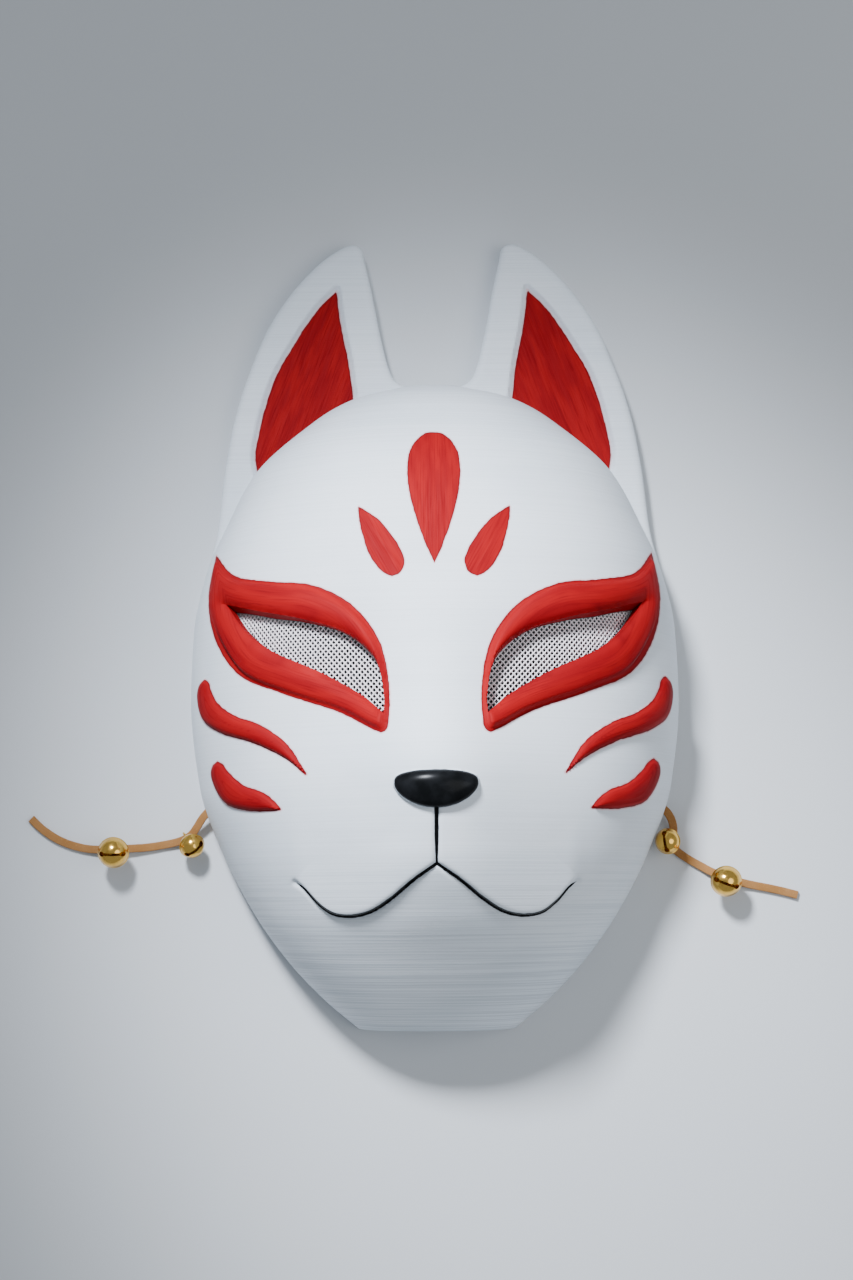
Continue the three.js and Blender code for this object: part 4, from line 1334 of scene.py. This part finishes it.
def place_bell(bell, radius, loop_at, heading, aside):
    """Moves the mesh so that the bell stands on its loop over the lace, leaning to one side."""
    reach = radius + LOOP_RADIUS
    lean = math.asin(aside / reach)
    along = Vector((*heading, 0)).normalized()
    outward = Vector((-along.y, along.x, 0))
    to_loop = outward * -math.sin(lean)
    to_loop.z = -math.cos(lean)
    third = along.cross(to_loop)
    turn = Matrix((third, along, to_loop)).transposed().to_4x4()
    loop_z = LOOP_RADIUS * math.cos(lean) + LOOP_WIRE + FLOOR_GAP
    centre = Vector((loop_at[0], loop_at[1], loop_z)) - to_loop * reach
    bell.data.transform(Matrix.Translation(centre * MM) @ turn)
    bell.data.update()


def pale_floor(colour):
    """Board under matt emulsion: one even pale grey but for a faint cloudiness."""
    material, tree, shader = new_material("Matt emulsion on board", IOR=1.5, Roughness=0.8)
    place = add_node(tree, PLACE, out="Object")
    # Clouds of a third of a metre
    cloud = add_node(tree, NOISE, {"Vector": place, "Scale": 3.0, "Detail": 3.0})
    share = add_node(tree, MAP_RANGE, {0: cloud, 1: 0.3, 2: 0.7, 4: 0.25}, **SMOOTH)
    colours = {SHARE: share, FIRST: opaque(colour), SECOND: opaque("#BEC1C4")}
    feed(tree, shader, {"Base Color": add_node(tree, MIX, colours, MIXED, **COLOUR)})
    return material


def soft_light(name, at, towards, size, colour, cone, power):
    """A round soft light, or a soft spot that fades out towards the edge of its cone."""
    lamp = bpy.data.lights.new(name, "SPOT" if cone else "AREA")
    if cone:
        lamp.spot_size = math.radians(cone)
        lamp.spot_blend = 1.0
        lamp.shadow_soft_size = size / 2
    else:
        lamp.shape = "DISK"
        lamp.size = size
    lamp.energy = power
    lamp.color = linear(colour)
    holder = linked(name, lamp)
    holder.location = at
    holder.rotation_euler = (Vector(towards) - Vector(at)).to_track_quat("-Z", "Y").to_euler()
    holder.visible_camera = False


def camera_above():
    """The camera looks down on the lying mask, six degrees off upright and rolled a little."""
    rise, roll = math.radians(CAMERA_RISE), math.radians(CAMERA_ROLL)
    back = Vector((0, -math.cos(rise), math.sin(rise)))
    right = Vector((1, 0, 0))
    up = back.cross(right)
    across = right * math.cos(roll) - up * math.sin(roll)
    upward = right * math.sin(roll) + up * math.cos(roll)
    camera = linked("Camera", bpy.data.cameras.new("Camera"))
    camera.data.lens = CAMERA_LENS
    camera.data.sensor_width = CAMERA_SENSOR
    turn = Matrix((across, upward, back)).transposed().to_4x4()
    camera.matrix_world = Matrix.Translation(Vector(CAMERA_AIM) + back * CAMERA_AWAY) @ turn
    bpy.context.scene.camera = camera


class MASK_OT_stage(Operator):
    """Set up the pale floor, the soft lights and the camera"""

    bl_idname = "fox_mask.stage"
    bl_label = "Stage"

    def execute(self, context):
        sizes = context.scene.stage_sizes
        half = FLOOR_HALF_WIDTH
        ends = ((-half, -half), (half, -half), (half, half), (-half, half))
        corners = [(x, y, FLOOR_Z) for x, y in ends]
        floor = new_object("floor", corners, [(0, 1, 2, 3)], pale_floor(sizes.floor), 0)
        for light, power in zip(LIGHTS, (sizes.key, sizes.fill)):
            soft_light(*light, power)
        world = bpy.data.worlds.new("Studio")
        world.use_nodes = True
        sky = world.node_tree.nodes["Background"].inputs
        sky["Color"].default_value = opaque("#DDE6F0")
        sky["Strength"].default_value = sizes.world
        context.scene.world = world
        camera_above()
        return {"FINISHED"}


class MASK_PT_sidebar(Panel):
    """Lists the pieces of the mask"""

    bl_label = "Fox mask"
    bl_idname = "MASK_PT_sidebar"
    bl_space_type = "VIEW_3D"
    bl_region_type = "UI"
    bl_category = "Fox mask"

    def draw(self, context):
        for operator in OPERATORS:
            self.layout.operator(operator.bl_idname)
        for name in SETTINGS:
            box = self.layout.box()
            group = getattr(context.scene, name)
            for key in group.bl_rna.properties.keys():
                if key not in ("rna_type", "name"):
                    box.prop(group, key)


OPERATORS = (MASK_OT_stage, MASK_OT_bells, MASK_OT_laces, MASK_OT_face, MASK_OT_ears, MASK_OT_screens)
SETTINGS = {
    "mask_paint": MaskPaint,
    "mask_sizes": MaskSizes,
    "screen_sizes": ScreenSizes,
    "lace_sizes": LaceSizes,
    "bell_sizes": BellSizes,
    "stage_sizes": StageSizes,
}


def register():
    for kind in (*SETTINGS.values(), *OPERATORS, MASK_PT_sidebar):
        bpy.utils.register_class(kind)
    for name, kind in SETTINGS.items():
        setattr(bpy.types.Scene, name, PointerProperty(type=kind))


def unregister():
    for name in SETTINGS:
        delattr(bpy.types.Scene, name)
    for kind in reversed((*SETTINGS.values(), *OPERATORS, MASK_PT_sidebar)):
        bpy.utils.unregister_class(kind)


def plain(box):
    return [[float(v) for v in corner] for corner in box]


def main():
    register()
    bpy.ops.fox_mask.stage()
    bpy.ops.fox_mask.bells()
    bpy.ops.fox_mask.laces()
    bpy.ops.fox_mask.face()
    bpy.ops.fox_mask.ears()
    bpy.ops.fox_mask.screens()


if __name__ == "__main__":
    main()
